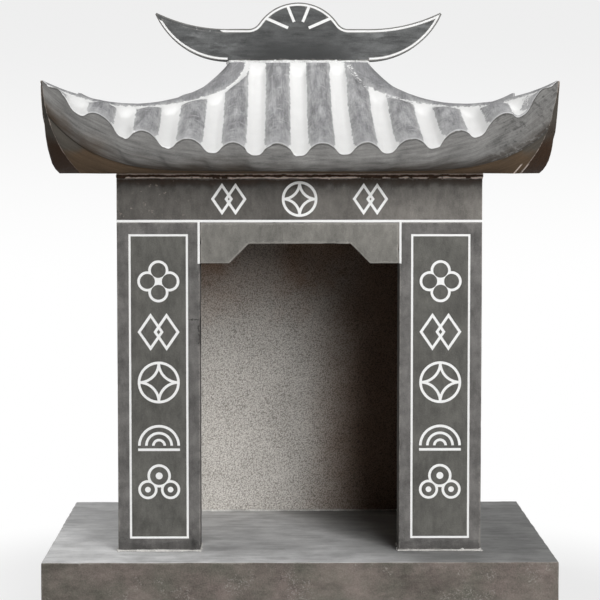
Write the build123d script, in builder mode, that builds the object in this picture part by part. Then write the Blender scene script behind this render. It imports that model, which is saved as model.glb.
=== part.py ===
"""A small wayside shrine of dark bluestone slabs, such as stands at a field edge or a village gate.

The frame is +Z up, with the open front facing -Y, +X to the right of someone facing the front, and the
origin under the middle of the plinth. All sizes are in millimetres.

From the ground up there is a plinth, a three-sided chamber of slabs behind two broad pillars, a shaped
head and a lintel across the top of the opening, one carved hipped roof stone with four upturned corners,
and a crescent ridge stone with a rising sun. Every incised line is cut into its stone and filled with
white paint, and each paint filling is a piece of its own.
"""

import os

from build123d import *

os.makedirs("parts", exist_ok=True)

# ---------------------------------------------------------------- chamber
body_width = 434.0
body_depth = 328.0
body_height = 446.0  # from the plinth to the top of the lintel

pillar_width = 98.5
front_thickness = 45.0
side_thickness = 40.0
back_thickness = 30.0
slab_arris = 1.2

lintel_height = 52.2

# The head of the opening has a shoulder at each pillar and a raised middle between two slopes.
shoulder_drop = 49.0  # from the lintel down to a shoulder
crown_drop = 25.8  # from the lintel down to the raised middle
shoulder_width = 35.0
slope_width = 23.0
head_rounding = 3.0

# ---------------------------------------------------------------- plinth and mortar
plinth_height = 90.0
plinth_side_ledge = 85.0  # how far the plinth reaches past the walls
plinth_front_ledge = 72.0
plinth_back_ledge = 50.0
plinth_arris = 2.0

base_bed = 1.5  # mortar under the walls
base_bed_lip = 1.5  # how far that mortar squeezes out past the wall faces
roof_bed = 6.0  # rough mortar between the walls and the roof stone
ridge_bed = 2.0  # mortar under the ridge stone

# ---------------------------------------------------------------- incised lines and ornaments
groove_depth = 1.5
fill_depth = 1.0  # paint in the bottom of a groove
border_line = 2.6
border_margin = 14.0
joint_line = 3.0
ornament_stroke = 3.2

panel_ornament_count = 5
panel_ornament_fill = 0.83  # an ornament's share of the room it has on its panel
panel_top_gap = 31.0  # from the border's outer edge to the first ornament
panel_bottom_gap = 42.0

lintel_ornament_pitch = 84.0
lintel_ornament_gap = 3.5

# ---------------------------------------------------------------- ridge stone
ridge_thickness = 34.0
ridge_foot_half = 88.0
ridge_tip_half = 178.0
ridge_tip_rise = 60.0
ridge_tip_blunt = 2.0
ridge_back_rise = 40.0
sun_radius = 59.5
sun_centre_rise = 13.2
sun_flank_rounding = 16.0  # the hollow between the sun and the crescent's back
belly_bend = (0.67, 0.352)  # the belly's middle point, as shares of its run and rise
ridge_line_inset = 1.8
ridge_line = 2.5
ridge_line_foot_gap = 7.0  # how high above the foot the outline stops

ray_hub_rise = 35.5
ray_angles = (23.5, 67.5, 112.5, 156.5)
ray_start = 14.0
ray_stroke = 3.6

# ---------------------------------------------------------------- roof stone
roof_side_overhang = 65.0  # how far the flat underside reaches past the walls
roof_front_overhang = 46.0
roof_back_overhang = 24.0
eave_side_flare = 5.0  # how far the middle of an eave reaches past the underside
eave_front_flare = 19.0
tip_side_flare = 15.0  # how far a corner tip reaches past the underside
tip_front_flare = 39.0

sole_corner_width = 27.0  # the underside's corners are cut off
sole_corner_depth = 28.0
tip_bluntness = 4.0  # width across a tip's cut face and along the hips

eave_rise = 28.0  # the middle of an eave above the underside
tip_rise = 107.0
flat_rise = 136.0  # the level top that carries the ridge stone
flat_end_inset = 3.0  # how far the ridge stone reaches past the level top
flat_side_ledge = 5.0

# The shape of the curved lines, as the middle two control points of cubic curves.
hip_low_rise = 45.9  # the hip's control points above the underside
hip_high_rise = 111.0
hip_runs = (0.53, 0.98)  # shares of the way from the tip to the level top
slope_shares = ((0.0, 0.35, 0.21), (0.0, 0.74, 0.45))  # a slope's middle line: across, out and up
hull_shares = ((0.0, 0.80, 0.05), (0.0, 1.05, 0.45))  # the hull's middle line, from the sole to the eave
front_arris_shares = ((0.55, 0.59, 0.22), (0.925, 0.846, 0.52))  # a corner's front edge, sole to tip
side_arris_shares = ((0.51, 0.87, 0.11), (0.83, 0.90, 0.47))
corner_square_share = 0.2  # how much of the eave's lift follows the square, the rest the fourth power

# ---------------------------------------------------------------- places worked out from the sizes
plinth_width = body_width + 2 * plinth_side_ledge
plinth_depth = plinth_front_ledge + body_depth + plinth_back_ledge

half_body = body_width / 2
opening_half = half_body - pillar_width
body_front = plinth_front_ledge - plinth_depth / 2
body_back = body_front + body_depth
body_middle_y = (body_front + body_back) / 2
wall_front = body_front + front_thickness
chamber_back = body_back - back_thickness
chamber_half = half_body - side_thickness

floor_z = plinth_height
wall_foot = floor_z + base_bed
body_top = floor_z + body_height
lintel_foot = body_top - lintel_height
pillar_height = lintel_foot - wall_foot
wall_height = body_top - wall_foot
roof_foot = body_top + roof_bed
roof_flat = roof_foot + flat_rise
ridge_foot = roof_flat + ridge_bed

sole_half_width = half_body + roof_side_overhang
sole_half_depth = (roof_front_overhang + body_depth + roof_back_overhang) / 2
roof_middle_y = body_middle_y + (roof_back_overhang - roof_front_overhang) / 2
eave_half_width = sole_half_width + eave_side_flare
eave_half_depth = sole_half_depth + eave_front_flare
tip_half_width = sole_half_width + tip_side_flare
tip_half_depth = sole_half_depth + tip_front_flare
flat_half_width = ridge_foot_half - flat_end_inset
flat_half_depth = ridge_thickness / 2 + flat_side_ledge

front_face = Plane.XZ.offset(-body_front)
front_groove_floor = Plane.XZ.offset(-body_front - groove_depth)
ridge_front = Plane(
    origin=(0, roof_middle_y - ridge_thickness / 2, ridge_foot), x_dir=(1, 0, 0), z_dir=(0, -1, 0)
)
ridge_groove_floor = ridge_front.offset(-groove_depth)

panel_width = pillar_width - 2 * border_margin
panel_height = pillar_height - 2 * border_margin
panel_middle = (wall_foot + lintel_foot) / 2
panel_top = panel_middle + panel_height / 2
pillar_middle = half_body - pillar_width / 2
shoulder_z = lintel_foot - shoulder_drop
crown_z = lintel_foot - crown_drop

ornament_run = panel_height - panel_top_gap - panel_bottom_gap
panel_ornament_pitch = ornament_run / (panel_ornament_count - 1 + panel_ornament_fill)
panel_cell = min(panel_ornament_pitch, panel_width - 2 * border_line)
panel_ornament_half = panel_cell * panel_ornament_fill / 2
first_ornament_z = panel_top - panel_top_gap - panel_ornament_pitch * panel_ornament_fill / 2
lintel_ornament_half = (lintel_height - joint_line) / 2 - lintel_ornament_gap
lintel_ornament_z = (lintel_foot + joint_line + body_top) / 2


def write_piece(builder, label):
    """Labels a finished piece and writes it to its own file."""
    builder.part.label = label
    export_step(builder.part, f"parts/{label}.step")


def slab(width, depth, height, middle_x, front_y, foot_z, arris=slab_arris):
    """A squared stone slab with its long outer arrises taken off."""
    with BuildPart() as stone:
        with Locations((middle_x, front_y + depth / 2, foot_z)):
            Box(width, depth, height, align=(Align.CENTER, Align.CENTER, Align.MIN))
        chamfer(stone.edges().filter_by(Axis.Z), arris)
    return stone


# ================================================================ ornaments
def four_petals(half, stroke):
    """Four ringed petals about a boss."""
    petal = half * 0.48
    reach = half - petal
    with BuildSketch() as ornament:
        with PolarLocations(reach, 4):
            Circle(petal)
        with PolarLocations(reach, 4):
            Circle(petal - stroke, mode=Mode.SUBTRACT)
        Circle(stroke * 1.2)
    return ornament.sketch


def linked_lozenges(half, stroke):
    """Two lozenges that overlap like links."""
    shift = half * 0.38
    long_half = half - shift
    tall_half = half * 0.9
    inset = stroke * 1.22
    with BuildSketch() as ornament:
        for side in (-1, 1):
            with BuildSketch(mode=Mode.PRIVATE) as lozenge:
                for reach, mode in ((0.0, Mode.ADD), (inset, Mode.SUBTRACT)):
                    across = long_half - reach
                    up = tall_half - reach * tall_half / long_half
                    with BuildLine():
                        Polyline((across, 0), (0, up), (-across, 0), (0, -up), close=True)
                    make_face(mode=mode)
            with Locations((side * shift, 0)):
                add(lozenge.sketch)
    return ornament.sketch


def pierced_coin(half, stroke):
    """A round coin whose hole is a square with hollow sides."""
    bend = half - stroke / 2
    corners = [(x * bend, y * bend) for x in (-1, 1) for y in (-1, 1)]
    with BuildSketch() as hollow_square:
        Circle(bend)
        with Locations(*corners):
            Circle(bend - stroke / 2, mode=Mode.SUBTRACT)
    with BuildSketch() as inner_square:
        Circle(bend)
        with Locations(*corners):
            Circle(bend + stroke / 2, mode=Mode.SUBTRACT)
    with BuildSketch() as ornament:
        Circle(half)
        Circle(half - stroke, mode=Mode.SUBTRACT)
        add(hollow_square.sketch)
        add(inner_square.sketch, mode=Mode.SUBTRACT)
    return ornament.sketch


def nested_waves(half, stroke):
    """Three arcs one inside the other, like a wave's crest, over a level line."""
    base = -half * 0.62
    gap = (half - 3 * stroke) / 3 + stroke
    with BuildSketch() as ornament:
        with Locations((0, base)):
            for ring in range(3):
                Circle(half - ring * gap)
                Circle(half - ring * gap - stroke, mode=Mode.SUBTRACT)
        with Locations((0, base - half)):
            Rectangle(2 * half, 2 * half, mode=Mode.SUBTRACT)
        with Locations((0, base - stroke * 1.5)):
            Rectangle(2 * half, stroke)
    return ornament.sketch


def three_lobed_cloud(half, stroke):
    """A cloud of three ringed lobes, the upper one larger, each about a boss."""
    lobe = half * 0.46
    crown = half * 0.56
    low = -half * 0.32
    high = half * 0.34
    lobes = (((-half + lobe, low), lobe), ((half - lobe, low), lobe), ((0, high), crown))
    with BuildSketch() as ornament:
        for place, radius in lobes:
            with Locations(place):
                Circle(radius)
        for place, radius in lobes:
            with Locations(place):
                Circle(radius - stroke, mode=Mode.SUBTRACT)
        for place, radius in lobes:
            with Locations(place):
                Circle(radius * 0.3)
    return ornament.sketch


panel_ornaments = (four_petals, linked_lozenges, pierced_coin, nested_waves, three_lobed_cloud)
panel_ornament_heights = [
    first_ornament_z - place * panel_ornament_pitch for place in range(panel_ornament_count)
]
lintel_ornaments = (
    ("left", linked_lozenges, -lintel_ornament_pitch),
    ("middle", pierced_coin, 0.0),
    ("right", linked_lozenges, lintel_ornament_pitch),
)

# ================================================================ plinth
with BuildPart() as plinth:
    Box(plinth_width, plinth_depth, plinth_height, align=(Align.CENTER, Align.CENTER, Align.MIN))
    chamfer(plinth.faces().sort_by(Axis.Z)[-1].edges(), plinth_arris)
    chamfer(plinth.edges().filter_by(Axis.Z), plinth_arris)
write_piece(plinth, "plinth")

# The mortar runs under the pillars and the three chamber walls, and is left out across the opening.
with BuildPart() as base_mortar:
    with BuildSketch(Plane.XY.offset(floor_z)):
        with Locations((0, body_middle_y)):
            Rectangle(body_width + 2 * base_bed_lip, body_depth + 2 * base_bed_lip)
        with Locations((0, (wall_front + chamber_back) / 2)):
            Rectangle(
                2 * (chamber_half - base_bed_lip),
                chamber_back - wall_front - 2 * base_bed_lip,
                mode=Mode.SUBTRACT,
            )
        with Locations((0, (body_front + wall_front) / 2)):
            Rectangle(
                2 * (opening_half - base_bed_lip),
                front_thickness + 4 * base_bed_lip,
                mode=Mode.SUBTRACT,
            )
    extrude(amount=base_bed)
write_piece(base_mortar, "base_mortar")

# ================================================================ pillars with their panels
with BuildSketch() as border_frame:
    Rectangle(panel_width, panel_height)
    Rectangle(panel_width - 2 * border_line, panel_height - 2 * border_line, mode=Mode.SUBTRACT)

for side_name, side in (("left", -1), ("right", 1)):
    panel_x = side * pillar_middle
    jamb_line_x = side * (opening_half + border_line / 2)
    jamb_line_z = (lintel_foot + shoulder_z) / 2
    ornaments = [draw(panel_ornament_half, ornament_stroke) for draw in panel_ornaments]

    with BuildPart() as pillar:
        with Locations((panel_x, body_front + front_thickness / 2, wall_foot)):
            Box(pillar_width, front_thickness, pillar_height, align=(Align.CENTER, Align.CENTER, Align.MIN))
        chamfer(pillar.edges().filter_by(Axis.Z), slab_arris)
        with BuildSketch(front_face):
            with Locations((panel_x, panel_middle)):
                add(border_frame.sketch)
            for ornament, height in zip(ornaments, panel_ornament_heights):
                with Locations((panel_x, height)):
                    add(ornament)
            with Locations((jamb_line_x, jamb_line_z)):
                Rectangle(border_line, shoulder_drop)
        extrude(amount=-groove_depth, mode=Mode.SUBTRACT)
    write_piece(pillar, f"{side_name}_pillar")

    with BuildPart() as border:
        with BuildSketch(front_groove_floor):
            with Locations((panel_x, panel_middle)):
                add(border_frame.sketch)
        extrude(amount=fill_depth)
    write_piece(border, f"{side_name}_panel_border")

    with BuildPart() as jamb_line:
        with BuildSketch(front_groove_floor):
            with Locations((jamb_line_x, jamb_line_z)):
                Rectangle(border_line, shoulder_drop)
        extrude(amount=fill_depth)
    write_piece(jamb_line, f"{side_name}_jamb_line")

    for draw, ornament, height in zip(panel_ornaments, ornaments, panel_ornament_heights):
        with BuildPart() as filling:
            with BuildSketch(front_groove_floor):
                with Locations((panel_x, height)):
                    add(ornament)
            extrude(amount=fill_depth)
        write_piece(filling, f"{side_name}_panel_{draw.__name__}")

# ================================================================ head of the opening and lintel
with BuildPart() as opening_head:
    with BuildSketch(front_face):
        with BuildLine():
            Polyline(
                (-opening_half, lintel_foot),
                (-opening_half, shoulder_z),
                (shoulder_width - opening_half, shoulder_z),
                (shoulder_width + slope_width - opening_half, crown_z),
                (opening_half - shoulder_width - slope_width, crown_z),
                (opening_half - shoulder_width, shoulder_z),
                (opening_half, shoulder_z),
                (opening_half, lintel_foot),
                close=True,
            )
        make_face()
    extrude(amount=-front_thickness)
    notch = opening_head.edges().filter_by(Axis.Y).group_by(Axis.Z)
    fillet(notch[0].sort_by(Axis.X)[1:-1] + notch[1], head_rounding)
write_piece(opening_head, "opening_head")

with BuildPart() as lintel:
    with Locations((0, body_front + front_thickness / 2, lintel_foot)):
        Box(body_width, front_thickness, lintel_height, align=(Align.CENTER, Align.CENTER, Align.MIN))
    with BuildSketch(front_face):
        with Locations((0, lintel_foot + joint_line / 2)):
            Rectangle(body_width, joint_line)
        for _, draw, middle_x in lintel_ornaments:
            with Locations((middle_x, lintel_ornament_z)):
                add(draw(lintel_ornament_half, ornament_stroke))
    extrude(amount=-groove_depth, mode=Mode.SUBTRACT)
write_piece(lintel, "lintel")

with BuildPart() as lintel_line:
    with BuildSketch(front_groove_floor):
        with Locations((0, lintel_foot + joint_line / 2)):
            Rectangle(body_width, joint_line)
    extrude(amount=fill_depth)
write_piece(lintel_line, "lintel_line")

for place, draw, middle_x in lintel_ornaments:
    with BuildPart() as filling:
        with BuildSketch(front_groove_floor):
            with Locations((middle_x, lintel_ornament_z)):
                add(draw(lintel_ornament_half, ornament_stroke))
        extrude(amount=fill_depth)
    write_piece(filling, f"lintel_{place}_ornament")

# ================================================================ chamber walls
for side_name, side in (("left", -1), ("right", 1)):
    side_wall = slab(
        side_thickness,
        chamber_back - wall_front,
        wall_height,
        side * (half_body - side_thickness / 2),
        wall_front,
        wall_foot,
    )
    write_piece(side_wall, f"{side_name}_wall")

back_wall = slab(body_width, back_thickness, wall_height, 0, chamber_back, wall_foot)
write_piece(back_wall, "back_wall")

with BuildPart() as roof_mortar:
    with BuildSketch(Plane.XY.offset(body_top)):
        with Locations((0, body_middle_y)):
            Rectangle(body_width, body_depth)
        with Locations((0, (wall_front + chamber_back) / 2)):
            Rectangle(2 * chamber_half, chamber_back - wall_front, mode=Mode.SUBTRACT)
    extrude(amount=roof_bed)
write_piece(roof_mortar, "roof_mortar")


# ================================================================ roof stone
# Each of its curved faces is one polynomial patch, given by its Bezier control points. A patch runs from
# corner to corner of the roof, across, and from a lower to an upper line. Its outer edges are a corner's
# curve, its middle follows a middle line, and the eave's lift blends from one to the other. The blend is
# a mix of the square and the fourth power of the distance from the middle, written as control values.
square_control = (1.0, 0.0, -1 / 3, 0.0, 1.0)
fourth_control = (1.0, -1.0, 1.0, -1.0, 1.0)
lift_control = [
    corner_square_share * square + (1 - corner_square_share) * fourth
    for square, fourth in zip(square_control, fourth_control)
]
across_control = (-1.0, -0.5, 0.0, 0.5, 1.0)


def between(start, end, shares):
    """Four control points from start to end, the middle two at shares of the way on each axis."""
    inner = [
        tuple(a + (b - a) * share for a, b, share in zip(start, end, axis_shares))
        for axis_shares in shares
    ]
    return [start, *inner, end]


def patch(corner_line, middle_line, turned=False):
    """A curved face between two mirrored copies of corner_line.

    Both lines are lists of control points (across, out, up). The face looks out along -Y, or along +X
    where it is turned.
    """
    rows = []
    for (reach, corner_out, corner_up), (_, middle_out, middle_up) in zip(corner_line, middle_line):
        row = []
        for across, lift in zip(across_control, lift_control):
            out = middle_out + (corner_out - middle_out) * lift
            up = middle_up + (corner_up - middle_up) * lift
            row.append(Vector(out, across * reach, up) if turned else Vector(across * reach, -out, up))
        rows.append(row)
    return Face.make_bezier_surface(rows)


def corner_strip(front_line, side_line):
    """The narrow face of one corner between its front and its side curve."""
    front_edge = [Vector(reach, -out, up) for reach, out, up in front_line]
    side_edge = [Vector(out, -reach, up) for reach, out, up in side_line]
    return Face.make_bezier_surface([front_edge, side_edge])


def level_octagon(half_width, half_depth, cut_width, cut_depth, z):
    """A level face whose corners are cut off."""
    points = []
    for sign_x, sign_y in ((1, -1), (1, 1), (-1, 1), (-1, -1)):
        on_long_side = Vector(sign_x * (half_width - cut_width), sign_y * half_depth, z)
        on_short_side = Vector(sign_x * half_width, sign_y * (half_depth - cut_depth), z)
        pair = [on_long_side, on_short_side]
        points += pair if sign_x * sign_y < 0 else pair[::-1]
    return Face(Wire.make_polygon(points, close=True))


half_blunt = tip_bluntness / 2
tip_z = roof_foot + tip_rise
eave_z = roof_foot + eave_rise

# The front and side faces meet each hip and tip half its bluntness short of the middle.
hip_heights = (tip_z, roof_foot + hip_low_rise, roof_foot + hip_high_rise, roof_flat)
hip_line = between((tip_half_width, tip_half_depth), (flat_half_width, flat_half_depth), [
    (run, run) for run in hip_runs
])
front_hip = [(x - half_blunt, y, z) for (x, y), z in zip(hip_line, hip_heights)]
side_hip = [(y - half_blunt, x, z) for (x, y), z in zip(hip_line, hip_heights)]

front_slope = between((0, eave_half_depth, eave_z), (0, flat_half_depth, roof_flat), slope_shares)
side_slope = between((0, eave_half_width, eave_z), (0, flat_half_width, roof_flat), slope_shares)
front_hull = between((0, sole_half_depth, roof_foot), (0, eave_half_depth, eave_z), hull_shares)
side_hull = between((0, sole_half_width, roof_foot), (0, eave_half_width, eave_z), hull_shares)
front_arris = between(
    (sole_half_width - sole_corner_width, sole_half_depth, roof_foot), front_hip[0], front_arris_shares
)
side_arris = between(
    (sole_half_depth - sole_corner_depth, sole_half_width, roof_foot), side_hip[0], side_arris_shares
)

roof_faces = [
    level_octagon(flat_half_width, flat_half_depth, half_blunt, half_blunt, roof_flat),
    level_octagon(sole_half_width, sole_half_depth, sole_corner_width, sole_corner_depth, roof_foot),
]
for face in (patch(front_hip, front_slope), patch(front_arris, front_hull)):
    roof_faces += [face, face.mirror(Plane.XZ)]
for face in (patch(side_hip, side_slope, turned=True), patch(side_arris, side_hull, turned=True)):
    roof_faces += [face, face.mirror(Plane.YZ)]
for face in (corner_strip(front_hip, side_hip), corner_strip(front_arris, side_arris)):
    right_pair = [face, face.mirror(Plane.XZ)]
    roof_faces += right_pair + [strip.mirror(Plane.YZ) for strip in right_pair]

with BuildPart() as roof_stone:
    with Locations((0, roof_middle_y, 0)):
        add(Solid(Shell(roof_faces)))
write_piece(roof_stone, "roof_stone")

with BuildPart() as ridge_mortar:
    with Locations((0, roof_middle_y, roof_flat)):
        Box(
            2 * flat_half_width,
            ridge_thickness,
            ridge_bed,
            align=(Align.CENTER, Align.CENTER, Align.MIN),
        )
write_piece(ridge_mortar, "ridge_mortar")

# ================================================================ ridge stone
# Its outline is the union of a crescent and a disc, whose meeting corners are hollowed round. The sketches
# are drawn about the middle of its foot.
belly_run = ridge_tip_half - ridge_foot_half
belly_rise = ridge_tip_rise - ridge_tip_blunt
sun_reach = (sun_radius**2 - (ridge_back_rise - sun_centre_rise) ** 2) ** 0.5

with BuildSketch() as ridge_shape:
    with BuildLine():
        foot = Line((0, 0), (ridge_foot_half, 0))
        belly = ThreePointArc(
            foot @ 1,
            (ridge_foot_half + belly_run * belly_bend[0], belly_rise * belly_bend[1]),
            (ridge_tip_half, belly_rise),
        )
        blunt = Line(belly @ 1, (ridge_tip_half - ridge_tip_blunt, ridge_tip_rise))
        back = TangentArc((ridge_foot_half, ridge_back_rise), blunt @ 1, tangent=(1, 0))
        Polyline(back @ 0, (0, ridge_back_rise), (0, 0))
    make_face()
    mirror(about=Plane.YZ)
    with Locations((0, sun_centre_rise)):
        Circle(sun_radius)
    with Locations((0, -sun_radius)):
        Rectangle(2 * ridge_tip_half, 2 * sun_radius, mode=Mode.SUBTRACT)
    by_distance = ridge_shape.vertices().sort_by(lambda corner: abs(abs(corner.X) - sun_reach))
    fillet(by_distance[0:2], sun_flank_rounding)

with BuildSketch() as ridge_outline_shape:
    add(ridge_shape.sketch)
    offset(amount=-ridge_line_inset, mode=Mode.REPLACE)
    with BuildSketch(mode=Mode.PRIVATE) as ridge_field:
        add(ridge_shape.sketch)
        offset(amount=-ridge_line_inset - ridge_line, mode=Mode.REPLACE)
    add(ridge_field.sketch, mode=Mode.SUBTRACT)
    Rectangle(2 * ridge_foot_half, 2 * ridge_line_foot_gap, mode=Mode.SUBTRACT)

ray_end = sun_centre_rise + sun_radius
with BuildSketch() as ridge_rays_shape:
    for angle in ray_angles:
        with Locations(Location((0, ray_hub_rise), angle)):
            with Locations(((ray_start + ray_end) / 2, 0)):
                Rectangle(ray_end - ray_start, ray_stroke)
    add(ridge_field.sketch, mode=Mode.INTERSECT)

with BuildPart() as ridge_stone:
    with BuildSketch(ridge_front):
        add(ridge_shape.sketch)
    extrude(amount=-ridge_thickness)
    with BuildSketch(ridge_front):
        add(ridge_outline_shape.sketch)
        add(ridge_rays_shape.sketch)
    extrude(amount=-groove_depth, mode=Mode.SUBTRACT)
write_piece(ridge_stone, "ridge_stone")

for label, shape in (("ridge_outline", ridge_outline_shape), ("ridge_rays", ridge_rays_shape)):
    with BuildPart() as filling:
        with BuildSketch(ridge_groove_floor):
            add(shape.sketch)
        extrude(amount=fill_depth)
    write_piece(filling, label)
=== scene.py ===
"""The wayside shrine's finished looks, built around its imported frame.

Everything is in metres and in the frame's own axes: +Z up, the open front facing -Y. Each stone is rebuilt
as a worn slab or a carved block in the place its frame node holds, and the paint in the incised lines stays
as it is in the frame and gets a painted finish.
"""

from itertools import product
from math import radians

import bmesh
import bpy
import numpy as np
from bpy.props import FloatProperty, FloatVectorProperty, IntProperty, PointerProperty
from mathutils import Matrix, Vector
from mathutils.geometry import delaunay_2d_cdt


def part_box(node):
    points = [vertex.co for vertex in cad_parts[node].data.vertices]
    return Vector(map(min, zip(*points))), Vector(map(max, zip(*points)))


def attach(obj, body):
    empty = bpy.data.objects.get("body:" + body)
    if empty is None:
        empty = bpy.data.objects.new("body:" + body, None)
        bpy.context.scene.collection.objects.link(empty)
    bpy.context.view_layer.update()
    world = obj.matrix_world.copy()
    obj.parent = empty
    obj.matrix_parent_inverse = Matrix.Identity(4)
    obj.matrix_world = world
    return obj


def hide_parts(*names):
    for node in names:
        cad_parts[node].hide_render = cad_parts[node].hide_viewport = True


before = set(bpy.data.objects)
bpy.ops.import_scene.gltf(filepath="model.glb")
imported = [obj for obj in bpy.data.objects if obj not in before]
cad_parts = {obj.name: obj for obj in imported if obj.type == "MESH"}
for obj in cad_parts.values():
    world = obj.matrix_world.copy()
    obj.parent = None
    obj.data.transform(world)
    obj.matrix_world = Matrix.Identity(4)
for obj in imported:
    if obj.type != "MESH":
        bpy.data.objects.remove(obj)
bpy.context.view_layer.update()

bl_info = {
    "name": "Wayside Shrine",
    "version": (1, 0, 0),
    "blender": (4, 5, 0),
    "location": "3D View > Sidebar > Shrine",
    "description": "Builds a small stone wayside shrine around its frame",
    "category": "Add Mesh",
}

MM = 0.001
WELD = 0.002 * MM  # points closer than this become one
LEVEL = 0.01 * MM  # how far a point may be from a level that it is on
ROOT = "root"
SIDES = (("left", -1), ("right", 1))

roof_low, roof_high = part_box("roof_stone")
plinth_low, plinth_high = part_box("plinth")
lintel_low, lintel_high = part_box("lintel")
ridge_low, ridge_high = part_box("ridge_stone")


def shade(red, green, blue):
    """Linear values of a colour given as it shows on a screen, each part from 0 to 255."""
    parts = np.array((red, green, blue)) / 255
    linear = np.where(parts <= 0.04045, parts / 12.92, ((parts + 0.055) / 1.055) ** 2.4)
    return tuple(float(part) for part in linear)


# ---------------------------------------------------------------- sizes and colours a user may change
def length(name, description, default):
    """A property for a length in metres."""
    return FloatProperty(name=name, description=description, default=default, min=0, unit="LENGTH")


def colour(name, description, *parts):
    """A property for a colour, given as it shows on a screen."""
    return FloatVectorProperty(
        name=name, description=description, default=shade(*parts), min=0, max=1, subtype="COLOR"
    )


class ShrineWear(bpy.types.PropertyGroup):
    """How handling and weather have worn the stones."""

    arris: length("Arris", "Radius that the slabs' arrises are worn to", 1.3 * MM)
    chip: length("Chips", "How deep the chips along an arris go", 5.0 * MM)
    unevenness: length("Unevenness", "How far a sawn face dips below true", 0.3 * MM)
    wear_width: length("Wear width", "How far in from an arris the stone is rubbed pale", 2.2 * MM)
    seed: IntProperty(name="Seed", description="Changes every chip and blotch", default=7)


class ShrineRoof(bpy.types.PropertyGroup):
    """The carved roof stone's flutes and ribs."""

    pitch: length("Flute pitch", "Distance from one trough to the next", 51.4 * MM)
    crest: length("Crest", "How far a roll rises above the slope", 7.25 * MM)
    trough: length("Trough", "How far a trough sinks below the slope", 7.25 * MM)
    sway: length("Sway", "How far a trough may stray sideways", 1.2 * MM)
    painted_half: length("Painted half width", "Half the width of a trough's white stripe", 10.8 * MM)
    rib_width: length("Rib width", "Width of the grey rib on each side of a hip, at the ridge", 12.0 * MM)
    rib_tip_width: length("Rib tip width", "Width of the rib on each side of a hip, at a tip", 3.6 * MM)
    rib_height: length("Rib height", "How far the rib stands up", 1.1 * MM)
    hip_line: length("Hip line", "Width of the white line beside a rib", 5.0 * MM)
    eave_wear: length("Eave wear", "Width of the rounded band along the eave", 2.0 * MM)
    step: length("Step", "How far the soffit lies behind the fascia", 1.3 * MM)


class ShrineHammering(bpy.types.PropertyGroup):
    """The bush-hammered faces inside the niche."""

    mark: length("Mark", "Distance between hammer marks", 1.7 * MM)
    depth: length("Depth", "How deep the marks go", 0.45 * MM)


class ShrineColours(bpy.types.PropertyGroup):
    """The colours of the stones, mortars and paint under plain light."""

    pillar: colour("Pillars", "Honed stone of the pillars", 96, 95, 91)
    margin: colour("Pillar margins", "Stone outside the panels' borders", 108, 106, 104)
    lintel: colour("Lintel", "Dark honed stone of the lintel", 105, 102, 98)
    head: colour("Opening head", "Greenish honed stone of the head", 122, 120, 115)
    plinth: colour("Plinth", "Pinkish brown sawn stone of the plinth's sides", 122, 111, 106)
    plinth_cool: colour("Plinth cool", "Greener blotches on the plinth's sides", 98, 96, 88)
    plinth_top: colour("Plinth top", "Brushed top of the plinth", 145, 145, 144)
    # The pale top colour: dust, and painted light on the top's left and front.
    plinth_dust: colour("Plinth dust", "Pale dust brushed into the plinth's top", 200, 200, 200)
    hammered: colour("Hammered stone", "Bruised stone inside the niche", 220, 216, 210)
    hammered_pit: colour("Hammer pits", "Unbruised stone between the marks", 132, 127, 121)
    # Painted shade: the brown tint laid on the niche's stone high up and to the right.
    painted_shade: colour("Smoke", "How the niche's stone is tinted where smoke browned it", 204, 170, 147)
    roll: colour("Rolls", "Dusty stone of the roof's rolls", 177, 177, 178)
    # Painted shade: bluish marks on the rolls' flanks beside the troughs.
    roll_dark: colour("Bare rolls", "Stone of the rolls where the dust is rubbed off", 132, 132, 134)
    roll_flank_shade: colour("Roll marks", "Bluish marks beside the painted troughs", 104, 106, 112)
    fascia: colour("Fascia", "Smooth stone of the roof's fascia", 124, 123, 121)
    underside: colour("Underside", "Dark stone below the fascia", 78, 74, 68)
    soffit: colour("Soffit", "Brown stone low under the eaves", 90, 75, 60)
    corner: colour("Corners", "Dark brown stone of the cut corners", 58, 42, 30)
    ridge: colour("Ridge", "Dark stone of the ridge", 94, 95, 95)
    worn: colour("Worn arris", "Stone rubbed pale along an arris", 168, 164, 158)
    bead: colour("Base mortar", "Pale mortar under the walls", 214, 212, 208)
    bed: colour("Roof mortar", "Rough brown mortar under the roof", 92, 72, 58)
    # Also the pale lines of the roof mortar, which are partly painted highlight.
    bed_light: colour("Roof mortar light", "Pinkish crust on the roof's mortar", 248, 230, 218)
    paint: colour("Paint", "White paint in the lines and troughs", 247, 247, 246)


class ShrineSettings(bpy.types.PropertyGroup):
    """Everything about the shrine that a user may change."""

    wear: PointerProperty(type=ShrineWear)
    roof: PointerProperty(type=ShrineRoof)
    hammering: PointerProperty(type=ShrineHammering)
    colours: PointerProperty(type=ShrineColours)


def settings():
    return bpy.context.scene.shrine


# ---------------------------------------------------------------- node trees
def arithmetic(operation, swapped=False):
    """A method that adds the node for one operation on two numbers or two vectors."""

    def method(value, other):
        pair = (other, value) if swapped else (value, other)
        kind = "ShaderNodeVectorMath" if any(is_vector(part) for part in pair) else "ShaderNodeMath"
        return value.wires.result(kind, 0, dict(enumerate(pair)), operation=operation)

    return method


def is_vector(part):
    return part.socket.type == "VECTOR" if isinstance(part, Value) else not np.isscalar(part)


class Value:
    """What a node's output holds. Sums of values are written as plain arithmetic and add the nodes for it."""

    def __init__(self, wires, socket):
        self.wires = wires
        self.socket = socket

    def __abs__(self):
        return self.wires.math("ABSOLUTE", self)

    __add__, __radd__ = arithmetic("ADD"), arithmetic("ADD", swapped=True)
    __sub__, __rsub__ = arithmetic("SUBTRACT"), arithmetic("SUBTRACT", swapped=True)
    __mul__, __rmul__ = arithmetic("MULTIPLY"), arithmetic("MULTIPLY", swapped=True)
    __truediv__, __rtruediv__ = arithmetic("DIVIDE"), arithmetic("DIVIDE", swapped=True)
    __lt__, __gt__ = arithmetic("LESS_THAN"), arithmetic("GREATER_THAN")


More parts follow.
